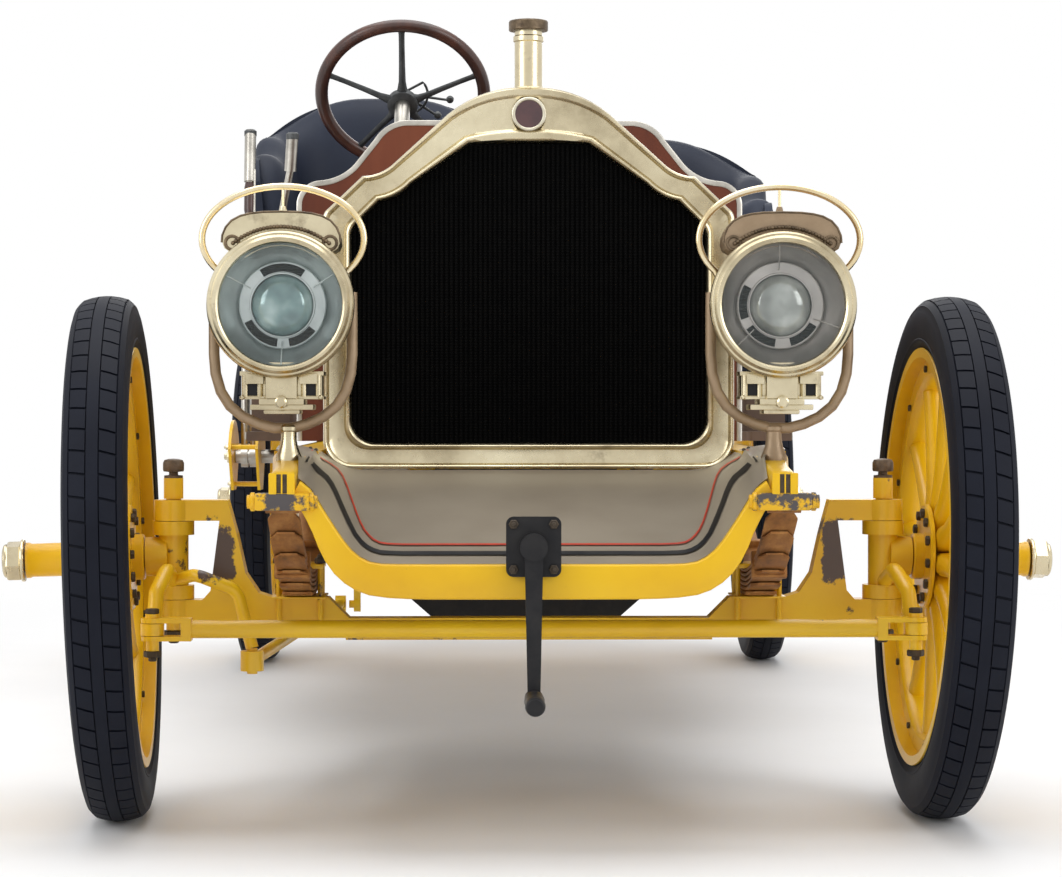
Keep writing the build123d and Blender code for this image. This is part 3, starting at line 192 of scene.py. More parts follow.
# The floor is pale painted board round the car, and pure white further off, where it meets the sky.
floor_finish = Finish("pale_floor", Roughness=0.75)
floor_shade = floor_finish.speckle(1.5)
floor_paint = floor_finish.feed(
    Base_Color=floor_finish.ramp(floor_shade, (0.35, (0.90, 0.90, 0.905)), (0.65, (0.93, 0.93, 0.935))))
where = floor_finish.node("ShaderNodeVectorMath", {"operation": "LENGTH"},
                          {0: floor_finish.place((1, 0.72, 1))}, output=1)
far = floor_finish.mask(where * 0.1, 0.16, 0.36)
glow = floor_finish.tree.nodes.new("ShaderNodeEmission")
glow.inputs["Color"].default_value = (1, 1, 1, 1)
seen_from = floor_finish.tree.nodes.new("ShaderNodeLightPath")
showing = floor_finish.node("ShaderNodeMath", {"operation": "MAXIMUM"}, {
    0: Sum(floor_finish, seen_from.outputs["Is Camera Ray"]),
    1: Sum(floor_finish, seen_from.outputs["Is Glossy Ray"])})
floor_mix = floor_finish.tree.nodes.new("ShaderNodeMixShader")
floor_finish.tree.links.new((far * showing).socket, floor_mix.inputs[0])
floor_finish.tree.links.new(floor_finish.surface.outputs[0], floor_mix.inputs[1])
floor_finish.tree.links.new(glow.outputs[0], floor_mix.inputs[2])
floor_finish.tree.links.new(floor_mix.outputs[0],
                            floor_finish.tree.nodes["Material Output"].inputs["Surface"])
bpy.ops.mesh.primitive_plane_add(size=60.0)
floor = bpy.context.object
floor.name = "studio_floor"
floor.data.materials.append(floor_paint)

# Chassis frame. Pressed-steel channel rails with riveted cross members and a tow eye at the tail, all in
# deep yellow enamel laid over brown primer.
yellow = Finish("yellow_enamel", Coat_Weight=0.18, Coat_Roughness=0.15, Specular_IOR_Level=0.35)
cloud = yellow.speckle(3.0, 5.0)
grime = yellow.speckle(14.0, 8.0, 0.7)
yellow_coat = yellow.ramp(cloud, (0.3, (0.70, 0.38, 0.003)), (0.55, (0.82, 0.49, 0.004)),
                          (0.8, (0.87, 0.55, 0.008)))
chips = yellow.mask(grime, 0.66, 0.74)
chipped = yellow.blend(chips * 0.55, yellow_coat, (0.20, 0.10, 0.03, 1))
yellow_enamel = yellow.feed(
    Base_Color=chipped, Roughness=0.24 + grime * 0.22,
    Normal=yellow.raise_by(yellow.speckle(60.0, 3.0), 0.10, 0.002))


def mottled(name, grain, shades, roughness, relief=None, **constants):
    """A finish of one noise. It mixes the shades, adds to the least roughness and may raise a relief."""
    finish = Finish(name, **constants)
    fleck = finish.speckle(*grain)
    least, spread = roughness
    sockets = {"Base_Color": finish.ramp(fleck, *shades), "Roughness": least + fleck * spread}
    if relief:
        sockets["Normal"] = finish.raise_by(fleck, *relief)
    return finish.feed(**sockets)


bolt_iron = mottled(
    "bolt_iron", (90.0, 6.0, 0.7), ((0.3, (0.035, 0.028, 0.022)), (0.7, (0.10, 0.075, 0.05))),
    roughness=(0.42, 0.3), relief=(0.25, 0.001), Metallic=0.6)


def dress(node, finish):
    """A CAD node keeps its shape and takes a finish."""
    thing = frame["nodes"][node]
    thing.data.materials.clear()
    thing.data.materials.append(finish)


class Piece:
    """A mesh in the making. Its shapes are placed in the car's own metres."""

    def __init__(self, name, finish, body, slot, sharp=35.0):
        self.name, self.finish, self.body, self.slot, self.sharp = name, finish, body, slot, sharp
        self.bm = bmesh.new()

    def grid(self, rows, place=Matrix(), closed_row=True, closed_column=False):
        """Rows of points skinned with quads; a closed row joins its last point to its first."""
        made = [[self.bm.verts.new(place @ Vector(p)) for p in row] for row in rows]
        count = len(made[0])
        for i in range(len(made) if closed_column else len(made) - 1):
            a, b = made[i], made[(i + 1) % len(made)]
            for j in range(count if closed_row else count - 1):
                k = (j + 1) % count
                self.bm.faces.new((a[j], a[k], b[k], b[j]))
        return made

    def cap(self, row):
        self.bm.faces.new(row)

    def ends(self, made):
        """Closes the first and last rows of a skin."""
        self.cap(list(reversed(made[0])))
        self.cap(made[-1])

    def turned(self, profile, place=Matrix(), steps=32, closed=False):
        """A profile of (radius, height) points turned about the place's Z axis, capped unless closed."""
        rows = [[(r * cos(tau * s / steps), r * sin(tau * s / steps), z) for s in range(steps)]
                for r, z in profile]
        made = self.grid(rows, place, closed_column=closed)
        if not closed:
            if profile[0][0] > 1e-5:
                self.cap(list(reversed(made[0])))
            if profile[-1][0] > 1e-5:
                self.cap(made[-1])

    def block(self, size, place=Matrix(), ease=0.0):
        """A box with eased edges, about the place's origin."""
        made = bmesh.ops.create_cube(self.bm, size=1.0, matrix=place @ Matrix.Diagonal((*size, 1)))
        if ease:
            edges = list(dict.fromkeys(e for v in made["verts"] for e in v.link_edges))
            bmesh.ops.bevel(self.bm, geom=edges, offset=ease, segments=2, profile=0.6, affect="EDGES")

    def plate(self, outline, thickness, place=Matrix()):
        """A flat outline of (x, y) points with thickness along the place's Z."""
        low = [self.bm.verts.new(place @ Vector((x, y, 0))) for x, y in outline]
        high = [self.bm.verts.new(place @ Vector((x, y, thickness))) for x, y in outline]
        self.bm.faces.new(list(reversed(low)))
        self.bm.faces.new(high)
        for i in range(len(low)):
            k = (i + 1) % len(low)
            self.bm.faces.new((low[i], low[k], high[k], high[i]))

    def tube(self, points, radius, steps=12, closed=False):
        """A round bar along points; radius may be one value or one for each point."""
        points = [Vector(p) for p in points]
        radii = radius if hasattr(radius, "__len__") else [radius] * len(points)
        rows, side = [], None
        for i, p in enumerate(points):
            before = points[i - 1] if i or closed else p
            after = points[(i + 1) % len(points)] if i < len(points) - 1 or closed else p
            along = (after - before).normalized()
            if side is None:
                side = along.orthogonal().normalized()
            side = (side - along * side.dot(along)).normalized()
            up = along.cross(side)
            rows.append([p + (side * cos(tau * s / steps) + up * sin(tau * s / steps)) * radii[i]
                         for s in range(steps)])
        made = self.grid(rows, closed_column=closed)
        if not closed:
            self.ends(made)

    def nut(self, place, across=0.018, height=0.010, stud=True):
        """A six-sided nut standing on the place's origin, with the stud's end through it."""
        r = across / 2 / cos(pi / 6)
        self.turned([(r * 0.9, 0), (r, height * 0.12), (r, height * 0.85), (r * 0.86, height)], place, 6)
        if stud:
            self.turned([(across * 0.27, height * 0.9), (across * 0.27, height * 1.5),
                         (across * 0.2, height * 1.62)], place, 10)

    def band(self, path, section, place=Matrix()):
        """A section of (outwards, y) points swept along an upright path of (x, z) points."""
        rows = []
        for i, (x, z) in enumerate(path):
            before, after = path[max(i - 1, 0)], path[min(i + 1, len(path) - 1)]
            along = Vector((after[0] - before[0], after[1] - before[1])).normalized()
            rows.append([(x - along.y * out, y, z + along.x * out) for out, y in section])
        self.ends(self.grid(rows, place))

    def done(self, replaced=(), subdivide=0):
        mesh = bpy.data.meshes.new(self.name)
        bmesh.ops.recalc_face_normals(self.bm, faces=self.bm.faces)
        for face in self.bm.faces:
            face.smooth = True
        for edge in self.bm.edges:
            if len(edge.link_faces) == 2 and edge.calc_face_angle(0.0) > radians(self.sharp):
                edge.smooth = False
        self.bm.to_mesh(mesh)
        self.bm.free()
        made = bpy.data.objects.new(self.name, mesh)
        bpy.context.collection.objects.link(made)
        mesh.materials.append(self.finish)
        if subdivide:
            fine = made.modifiers.new("fine", "SUBSURF")
            fine.levels = fine.render_levels = subdivide
        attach(made, self.body)
        if replaced:
            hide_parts(*replaced)
        return made


def facing(place, towards):
    """A place whose Z axis points a given way."""
    return Matrix.Translation(Vector(place)) @ Vector(towards).to_track_quat("Z", "Y").to_matrix().to_4x4()


def arc(start, through, end, steps=12):
    """Points on the round arc through three points of a plane or of space."""
    a, b, c = (Vector(p).to_3d() for p in (start, through, end))
    ab, ac = b - a, c - a
    normal = ab.cross(ac)
    centre = a + (normal.cross(ab) * ac.length_squared + ac.cross(normal) * ab.length_squared) / (
        2 * normal.length_squared)
    first, last = a - centre, c - centre
    across = normal.normalized().cross(first)
    turn = atan2(last.dot(across), last.dot(first)) % tau
    return [centre + first * cos(turn * i / steps) + across * sin(turn * i / steps)
            for i in range(steps + 1)]


def lengthwise(x):
    """A place whose own X runs aft from the front axle, with Z up, at a distance from the middle."""
    return Matrix(((0, 1, 0, x), (1, 0, 0, front_axle.y), (0, 0, 1, 0), (0, 0, 0, 1)))


frame_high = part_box("frame")[1]
rail_top, frame_end = frame_high.z, frame_high.y - front_axle.y - 0.040
rails = Piece("chassis_rails", yellow_enamel, "chassis", "yellow_paint", 30)
rail_foot = [(frame_end, rail_top - 0.060), (2.820, rail_top - 0.060), (2.680, rail_top - 0.096),
             (0.680, rail_top - 0.096), (0.560, rail_top - 0.055), (-0.120, rail_top - 0.055)]
rail_crown = [(-0.130, rail_top), (0.700, rail_top), (2.000, rail_top), (frame_end, rail_top)]
for side in (-1, 1):
    web = Matrix(((0, 0, side, side * 0.429), (1, 0, 0, front_axle.y), (0, 1, 0, 0), (0, 0, 0, 1)))
    rails.plate(rail_foot + rail_crown, 0.008, web)
    flange = [(0, side * 0.362), (0, side * 0.436), (0.008, side * 0.436), (0.008, side * 0.362)]
    rails.band([(y, z - 0.008) for y, z in rail_crown], flange, lengthwise(0))
    rails.band(list(reversed(rail_foot)), flange, lengthwise(0))
    for y in (0.457, 2.592, 3.708):
        rails.turned([(0.019, 0), (0.019, 0.004), (0.0115, 0.005), (0.0115, 0.012)],
                     facing((side * 0.4365, front_axle.y + y, 0.567), (side, 0, 0)), 20)
    rails.block((0.012, 0.060, 0.075), Matrix.Translation((side * 0.431, front_axle.y + 0.457, 0.590)), 0.004)
for y, wide, low, high in ((0.060, 0.050, 0.049, 0.041), (1.200, 0.060, 0.085, 0.020),
                           (1.400, 0.040, 0.085, 0.020), (1.910, 0.040, 0.085, 0.020),
                           (2.640, 0.050, 0.085, 0.005), (frame_end - 0.030, 0.050, 0.055, 0.005)):
    member = Matrix.Translation((0, front_axle.y + y, rail_top - (low + high) / 2))
    rails.block((0.866, wide, low - high), member, 0.002)
rails.turned([(0.014, -0.008), (0.026, -0.006), (0.026, 0.006), (0.014, 0.008)],
             Matrix.Translation((0, front_axle.y + frame_end + 0.014, rail_top - 0.030)), 32, closed=True)
rails.done(["frame"])
frame_rivets = Piece("frame_rivets", bolt_iron, "chassis", "iron")
for side in (-1, 1):
    for i in range(24):
        y = front_axle.y + 0.75 + 0.105 * i
        frame_rivets.turned([(0.007, 0), (0.0062, 0.003), (0.003, 0.005), (0, 0.0055)],
                         facing((side * 0.437, y, 0.632), (side, 0, 0)), 8)
frame_rivets.done()

# Dumb irons. Forgings that carry the rails forward and down to the front springs: each narrows to a neck,
# then spreads into a pinned fork over the spring's eye, worn to dark metal on top.
patchy = Finish("worn_yellow", Roughness=0.4)
patches = patchy.speckle(15.0, 8.0, 0.7)
laid_bare = patchy.mask(patches, 0.47, 0.52)
worn_yellow = patchy.feed(
    Base_Color=patchy.blend(laid_bare, (0.78, 0.44, 0.004, 1), (0.07, 0.06, 0.06, 1)),
    Roughness=0.32 + patches * 0.25, Normal=patchy.raise_by(patches * 0.3 - laid_bare, 0.3, 0.001))
iron_x, eye_station = 0.400, 0.457
irons = Piece("dumb_irons", yellow_enamel, "chassis", "yellow_paint", 50)
forks = Piece("dumb_iron_forks", worn_yellow, "chassis", "yellow_paint", 30)
recess_shadows = Piece("dumb_iron_recesses", bolt_iron, "chassis", "iron", 30)
for side in (-1, 1):
    rows = []
    for y, z, w, h in ((-0.125, 0.6175, 0.074, 0.055), (-0.190, 0.6160, 0.070, 0.054),
                       (-0.240, 0.6120, 0.060, 0.054), (-0.290, 0.6070, 0.048, 0.052),
                       (-0.340, 0.6010, 0.0425, 0.050), (-0.390, 0.5985, 0.041, 0.046),
                       (-0.430, 0.5975, 0.041, 0.042), (-0.452, 0.5960, 0.041, 0.038),
                       (-0.466, 0.5930, 0.040, 0.030), (-0.472, 0.5900, 0.038, 0.022)):
        row = []
        for k in range(24):
            c, s = cos(tau * k / 24), sin(tau * k / 24)
            row.append((side * iron_x + w / 2 * abs(c) ** 0.35 * (1 if c > 0 else -1), front_axle.y + y,
                        z + h / 2 * abs(s) ** 0.35 * (1 if s > 0 else -1)))
        rows.append(row)
    irons.ends(irons.grid(rows))
    eye = Matrix.Translation((side * iron_x, front_axle.y - eye_station, 0.5695))
    forks.block((0.088, 0.036, 0.028), eye, 0.005)
    for flank in (-1, 1):
        pin = eye @ Matrix.Translation((flank * 0.044, 0, 0)) @ Matrix.Rotation(flank * pi / 2, 4, "Y")
        forks.turned([(0.015, 0), (0.015, 0.006), (0.011, 0.008), (0.011, 0.012)], pin, 20)
        irons.block((0.0125, 0.016, 0.034), eye @ Matrix.Translation((flank * 0.0145, -0.010, 0.029)), 0.002)
    irons.block((0.0025, 0.014, 0.032), eye @ Matrix.Translation((0, -0.010, 0.029)), 0.0006)
    # Painted shade: a dark iron block fills the gap between each fork's two cheeks and stands in for the
    # shade in that recess.
    recess_shadows.block((0.017, 0.010, 0.030), eye @ Matrix.Translation((0, -0.0105, 0.029)), 0.001)
irons.done()
forks.done()
recess_shadows.done()

# Front cross bar. One forged strip swept down from iron to iron in two smooth bends, with rounded edges.
bar_y = front_axle.y - 0.445
bar_edges = [((0, 0.4690), (0, 0.4130)), ((0.090, 0.4690), (0.090, 0.4130)),
             ((0.170, 0.4690), (0.165, 0.4132)), ((0.215, 0.4692), (0.200, 0.4140)),
             ((0.243, 0.4700), (0.232, 0.4158)), ((0.262, 0.4732), (0.262, 0.4200)),
             ((0.276, 0.4800), (0.283, 0.4275)), ((0.290, 0.4915), (0.302, 0.4395)),
             ((0.302, 0.5060), (0.318, 0.4545)), ((0.313, 0.5220), (0.332, 0.4740)),
             ((0.324, 0.5390), (0.343, 0.4960)), ((0.335, 0.5560), (0.352, 0.5190)),
             ((0.346, 0.5740), (0.362, 0.5400)), ((0.357, 0.5900), (0.373, 0.5600)),
             ((0.372, 0.6020), (0.386, 0.5740))]
bar = Piece("front_cross_bar", yellow_enamel, "chassis", "yellow_paint", 60)
rows = []
for high, low in [((-a[0], a[1]), (-b[0], b[1])) for a, b in reversed(bar_edges)] + bar_edges[1:]:
    high, low = Vector((high[0], 0, high[1])), Vector((low[0], 0, low[1]))
    inward = (high - low).normalized()
    row = []
    for base, sign in ((low, -1), (high, 1)):
        for lift, fore in ((0.0045, 0.013), (0.0013, 0.0117), (0, 0.0085), (0, -0.0085), (0.0013, -0.0117),
                           (0.0045, -0.013)):
            row.append(base - inward * (sign * lift) + Vector((0, bar_y + fore * -sign, 0)))
    rows.append(row)
bar.ends(bar.grid(rows))
bar.done()

# Tyres. Straight-side cord tyres of near-black rubber, with a plain centre rib and a row of cut blocks
# each side of it. Moulded in one piece, and held by the rim's flanges.
rubber = Finish("tyre_rubber", Specular_IOR_Level=0.16)
bloom = rubber.speckle(7.0, 6.0, 0.65)
fine_grain = rubber.speckle(240.0, 3.0)
tyre_rubber = rubber.feed(
    Base_Color=rubber.ramp(bloom, (0.3, (0.0035, 0.0045, 0.010)), (0.7, (0.009, 0.011, 0.019))),
    Roughness=0.50 + bloom * 0.26, Normal=rubber.raise_by(fine_grain, 0.12, 0.0006))

joint_of = {j["name"]: j for j in frame["joints"]}
tyre_radius, crown, groove = 0.457, 0.1066, 0.0045
rib_half, block_in, block_out, blocks = 0.0095, 0.0115, 0.0372, 72
wheel_names = ("front_right", "front_left", "rear_right", "rear_left")


def wheel_place(which):
    """The wheel's centre, with Z pointing outboard along its axle and X straight up."""
    joint = joint_of[f"wheel_{which}_spin"]
    centre, axle = Vector(joint["pos_m"]), Vector(joint["axis"]).normalized()
    if axle.x * centre.x < 0:
        axle = -axle
    up = (Vector((0, 0, 1)) - axle * axle.z).normalized()
    turn = Matrix((up, axle.cross(up), axle)).transposed().to_4x4()
    return Matrix.Translation(centre) @ turn


def tread_radius(across):
    return tyre_radius - crown + (crown ** 2 - across ** 2) ** 0.5


for which in wheel_names:
    place = wheel_place(which)
    tyre = Piece(f"cord_tyre_{which}", tyre_rubber, f"wheel_{which}", "tyre_rubber", 40)
    tread = [(tread_radius(x) - groove, x) for x in (-0.036, -0.024, -0.012, 0, 0.012, 0.024, 0.036)]
    wall = [(0.4484, 0.0395), (0.444, 0.0440), (0.4395, 0.0478), (0.4375, 0.0476), (0.430, 0.0508),
            (0.418, 0.0530), (0.405, 0.0536), (0.392, 0.0524), (0.383, 0.0500), (0.3815, 0.0510),
            (0.3785, 0.0505), (0.377, 0.0485), (0.371, 0.0455), (0.367, 0.0428), (0.3565, 0.0415)]
    section = [(r, -x) for r, x in reversed(wall)] + tread + wall
    tyre.turned(section, place, 168, closed=True)
    rib = [(tread_radius(rib_half) - groove - 0.001, -rib_half - 0.001), (tread_radius(rib_half), -rib_half),
           (tyre_radius, 0), (tread_radius(rib_half), rib_half),
           (tread_radius(rib_half) - groove - 0.001, rib_half + 0.001)]
    tyre.turned(rib, place, 168, closed=True)
    pitch = tau / blocks
    for side in (-1, 1):
        for i in range(blocks):
            inner, outer = i * pitch, i * pitch + side * 0.012
            rows = []
            for x, turn_by in ((block_in, inner), ((block_in + block_out) / 2, (inner + outer) / 2),
                               (block_out, outer)):
                high, low = tread_radius(x), tread_radius(x) - groove - 0.001
                a, b = turn_by + pitch * 0.055, turn_by + pitch * 0.945
                rows.append([(low * cos(a), low * sin(a), side * x), (high * cos(a), high * sin(a), side * x),
                             (high * cos((a + b) / 2), high * sin((a + b) / 2), side * x),
                             (high * cos(b), high * sin(b), side * x),
                             (low * cos(b), low * sin(b), side * x)])
            tyre.ends(tyre.grid(rows, place))
    tyre.done([f"tyre_{which}"])

# Wheels. Twelve tapered ash spokes wedged round the nave and tenoned into a two-piece felloe, under a
# shrunk steel rim with turned flanges. Painted as the frame is.
spokes, spoke_turn, felloe_in, rim_in = 12, 0.11, 0.316, 0.350
for which in wheel_names:
    place = wheel_place(which)
    wheel = Piece(f"spoked_wheel_{which}", yellow_enamel, f"wheel_{which}", "yellow_wood", 40)
    felloe = [(felloe_in + 0.006, -0.025), (felloe_in, -0.018), (felloe_in - 0.001, 0), (felloe_in, 0.018),
              (felloe_in + 0.006, 0.025), (rim_in, 0.025), (rim_in, -0.025)]
    wheel.turned(felloe, place, 96, closed=True)
    rim = [(0.3495, -0.0475), (0.3655, -0.048), (0.3665, -0.0455), (0.3650, -0.0430), (0.3565, -0.0415),
           (0.3560, 0), (0.3565, 0.0415), (0.3650, 0.0430), (0.3665, 0.0455), (0.3655, 0.048),
           (0.3495, 0.0475), (0.3495, 0.030), (0.3510, 0), (0.3495, -0.030)]
    wheel.turned(rim, place, 120, closed=True)
    for i in range(spokes):
        at = place @ Matrix.Rotation(tau * i / spokes + spoke_turn, 4, "Z")
        rows = []
        for r, w, d in ((0.050, 0.0125, 0.0225), (0.084, 0.0205, 0.0230), (0.100, 0.0200, 0.0225),
                        (0.118, 0.0178, 0.0205), (0.150, 0.0160, 0.0185), (0.200, 0.0148, 0.0172),
                        (0.250, 0.0140, 0.0165), (0.290, 0.0138, 0.0163), (0.306, 0.0150, 0.0172),
                        (0.3185, 0.0158, 0.0180)):
            square = 0.55 if r < 0.11 else 0.0
            row = []
            for s in range(20):
                c, n = cos(tau * s / 20), sin(tau * s / 20)
                grow = (1 - square) + square / max(abs(c), abs(n))
                row.append((r, w * c * grow, d * n * grow))
            rows.append(row)
        wheel.ends(wheel.grid(rows, at))
    wheel.done([f"wheel_{which}"])
    rivets = Piece(f"felloe_bolts_{which}", bolt_iron, f"wheel_{which}", "iron")
    for i in range(spokes):
        at = place @ Matrix.Rotation(tau * (i + 0.5) / spokes + spoke_turn, 4, "Z")
        for side in (-1, 1):
            head = at @ Matrix.Translation((0.334, 0, side * 0.025)) @ Matrix.Rotation(
                0 if side > 0 else pi, 4, "X")
            rivets.nut(head, 0.011, 0.005, stud=side > 0)
    rivets.done()

# Hubs. Turned steel barrels in the wheels' yellow, whose two flanges clamp the spokes with a ring of
# bolts. A brass screw cap with six flats closes each; the rear ones carry the brake drums.
brass = Finish("aged_brass", Metallic=1.0)
tarnish = brass.speckle(5.0, 7.0, 0.62)
fingering = brass.speckle(38.0, 4.0, 0.6)
stain = brass.speckle(13.0, 8.0, 0.7)
brass_shade = brass.ramp(tarnish, (0.30, (0.33, 0.27, 0.17)), (0.48, (0.60, 0.52, 0.35)),
                         (0.72, (0.80, 0.72, 0.51)))
spots = brass.mask(stain, 0.60, 0.72)
aged_brass = brass.feed(
    Base_Color=brass.blend(spots * 0.6, brass_shade, (0.20, 0.155, 0.10, 1)),
    Roughness=0.15 + stain * 0.26, Normal=brass.raise_by(fingering, 0.08, 0.0010))

for which in wheel_names:
    place = wheel_place(which)
    front = which.startswith("front")
    reach = 0.195 if front else 0.125
    hub = Piece(f"turned_hub_{which}", yellow_enamel, f"wheel_{which}", "yellow_paint", 30)
    snout = [(0.0202, -0.052), (0.038, -0.052), (0.040, -0.049), (0.040, -0.033), (0.089, -0.032),
             (0.092, -0.029), (0.092, -0.0243), (0.045, -0.024), (0.045, 0.024), (0.092, 0.0243),
             (0.092, 0.029), (0.089, 0.032), (0.050, 0.034), (0.044, 0.038), (0.034, 0.046),
             (0.0295, 0.054), (0.0290, reach - 0.052), (0.031, reach - 0.048), (0.031, reach - 0.042),
             (0.0202, reach - 0.042)]
    hub.turned(snout, place, 48, closed=True)
    if not front:
        drum = [(0.060, -0.032), (0.164, -0.032), (0.166, -0.036), (0.165, -0.044), (0.1665, -0.050),
                (0.165, -0.056), (0.1665, -0.062), (0.165, -0.068), (0.1665, -0.074), (0.165, -0.080),
                (0.166, -0.092), (0.157, -0.092), (0.157, -0.040), (0.060, -0.040)]
        hub.turned(drum, place, 72, closed=True)
    hub.done([f"hub_{which}"])
    bolts = Piece(f"hub_bolts_{which}", bolt_iron, f"wheel_{which}", "iron")
    for i in range(spokes):
        at = place @ Matrix.Rotation(tau * i / spokes + spoke_turn, 4, "Z")
        bolts.nut(at @ Matrix.Translation((0.076, 0, 0.032)), 0.015, 0.009)
        bolts.nut(at @ Matrix.Translation((0.076, 0, -0.032)) @ Matrix.Rotation(pi, 4, "X"), 0.015, 0.007,
                  stud=False)
    bolts.done()
    cap = Piece(f"hub_cap_{which}_screwed", aged_brass, f"wheel_{which}", "brass", 25)
    seat = place @ Matrix.Translation((0, 0, reach - 0.0397))
    cap.turned([(0.0300, 0), (0.0362, 0.0003), (0.0370, 0.002), (0.0370, 0.0045), (0.0362, 0.0062),
                (0.0335, 0.007), (0.030, 0.007)], seat, 48)
    cap.turned([(0.0335, 0.007), (0.0346, 0.0085), (0.0346, 0.0285), (0.0328, 0.0312), (0.0290, 0.0318)],
               seat @ Matrix.Rotation(0.3, 4, "Z"), 6)
    cap.turned([(0.0292, 0.0315), (0.0292, 0.034), (0.0275, 0.0365), (0.0225, 0.0385), (0.012, 0.0393),
                (0, 0.0395)], seat, 40)
    cap.done([f"hub_cap_{which}"])

# Front axle, knuckles and steering rods. Drop-forged members with forked ends for the kingpins, in the
# frame's yellow, but worn to brown primer on the arms; screw-down grease cups stand on the kingpins.
forged = Finish("forged_yellow", Roughness=0.34, Coat_Weight=0.25, Coat_Roughness=0.2)
point = forged.node("ShaderNodeTexCoord", output=3)
height = forged.node("ShaderNodeSeparateXYZ", {}, {0: point}, output=2)
across = forged.node("ShaderNodeSeparateXYZ", {}, {0: point}, output=0)
outwards = forged.node("ShaderNodeMath", {"operation": "ABSOLUTE"}, {0: across})
worn = forged.speckle(9.0, 9.0, 0.72)
on_arm = forged.mask(height, 0.39, 0.43, 0.51, 0.55)
slope = forged.mask(outwards, 0.50, 0.52, 0.565, 0.575)
bare = forged.mask(worn + on_arm * slope * 0.24, 0.64, 0.68)
coat = forged.ramp(forged.speckle(4.0), (0.3, (0.74, 0.42, 0.004)), (0.7, (0.88, 0.57, 0.008)))
forged_yellow = forged.feed(
    Base_Color=forged.blend(bare, coat, (0.075, 0.045, 0.032, 1)), Roughness=0.30 + worn * 0.25,
    Normal=forged.raise_by(forged.speckle(70.0, 5.0), 0.22, 0.002))
for node in ("front_axle", "knuckle_left", "knuckle_right", "tie_rod", "drag_link", "rear_axle"):
    dress(node, forged_yellow)

greasy_brown = mottled(
    "greasy_brown", (60.0, 6.0, 0.7), ((0.3, (0.05, 0.032, 0.02)), (0.7, (0.16, 0.11, 0.07))),
    roughness=(0.30, 0.35), relief=(0.3, 0.001), Metallic=0.4)
kingpin_x, jaw_top = 0.622, 0.558
for side, word in ((-1, "right"), (1, "left")):
    cup = Piece(f"grease_cup_{word}", greasy_brown, f"knuckle_{word}", "iron", 30)
    top = Matrix.Translation((side * kingpin_x, front_axle.y, jaw_top + 0.0385))
    cup.turned([(0.0165, -0.001), (0.0165, 0.004), (0.008, 0.005), (0.008, 0.010), (0.0175, 0.011),
                (0.0185, 0.014), (0.0185, 0.026), (0.016, 0.031), (0.009, 0.033), (0, 0.0335)], top, 20)
    cup.done()
    pinned = Piece(f"kingpin_nut_{word}", bolt_iron, f"knuckle_{word}", "iron", 30)
    foot = Matrix.Translation((side * kingpin_x, front_axle.y, 0.3295)) @ Matrix.Rotation(pi, 4, "X")
    pinned.nut(foot, 0.034, 0.014)
    pinned.done()
tie_low, tie_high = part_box("tie_rod")
rod_bolts = Piece("tie_rod_nuts", bolt_iron, "tie_rod", "iron", 30)
rod_pins = ((-0.635598, -1.783952), (0.649217, -1.782598))
for pin_x, pin_y in rod_pins:
    rod_bolts.nut(Matrix.Translation((pin_x, pin_y, tie_high.z)), 0.020, 0.009, stud=False)
    rod_bolts.nut(Matrix.Translation((pin_x, pin_y, tie_low.z + 0.006)) @ Matrix.Rotation(pi, 4, "X"),
                  0.026, 0.011)
rod_bolts.done()

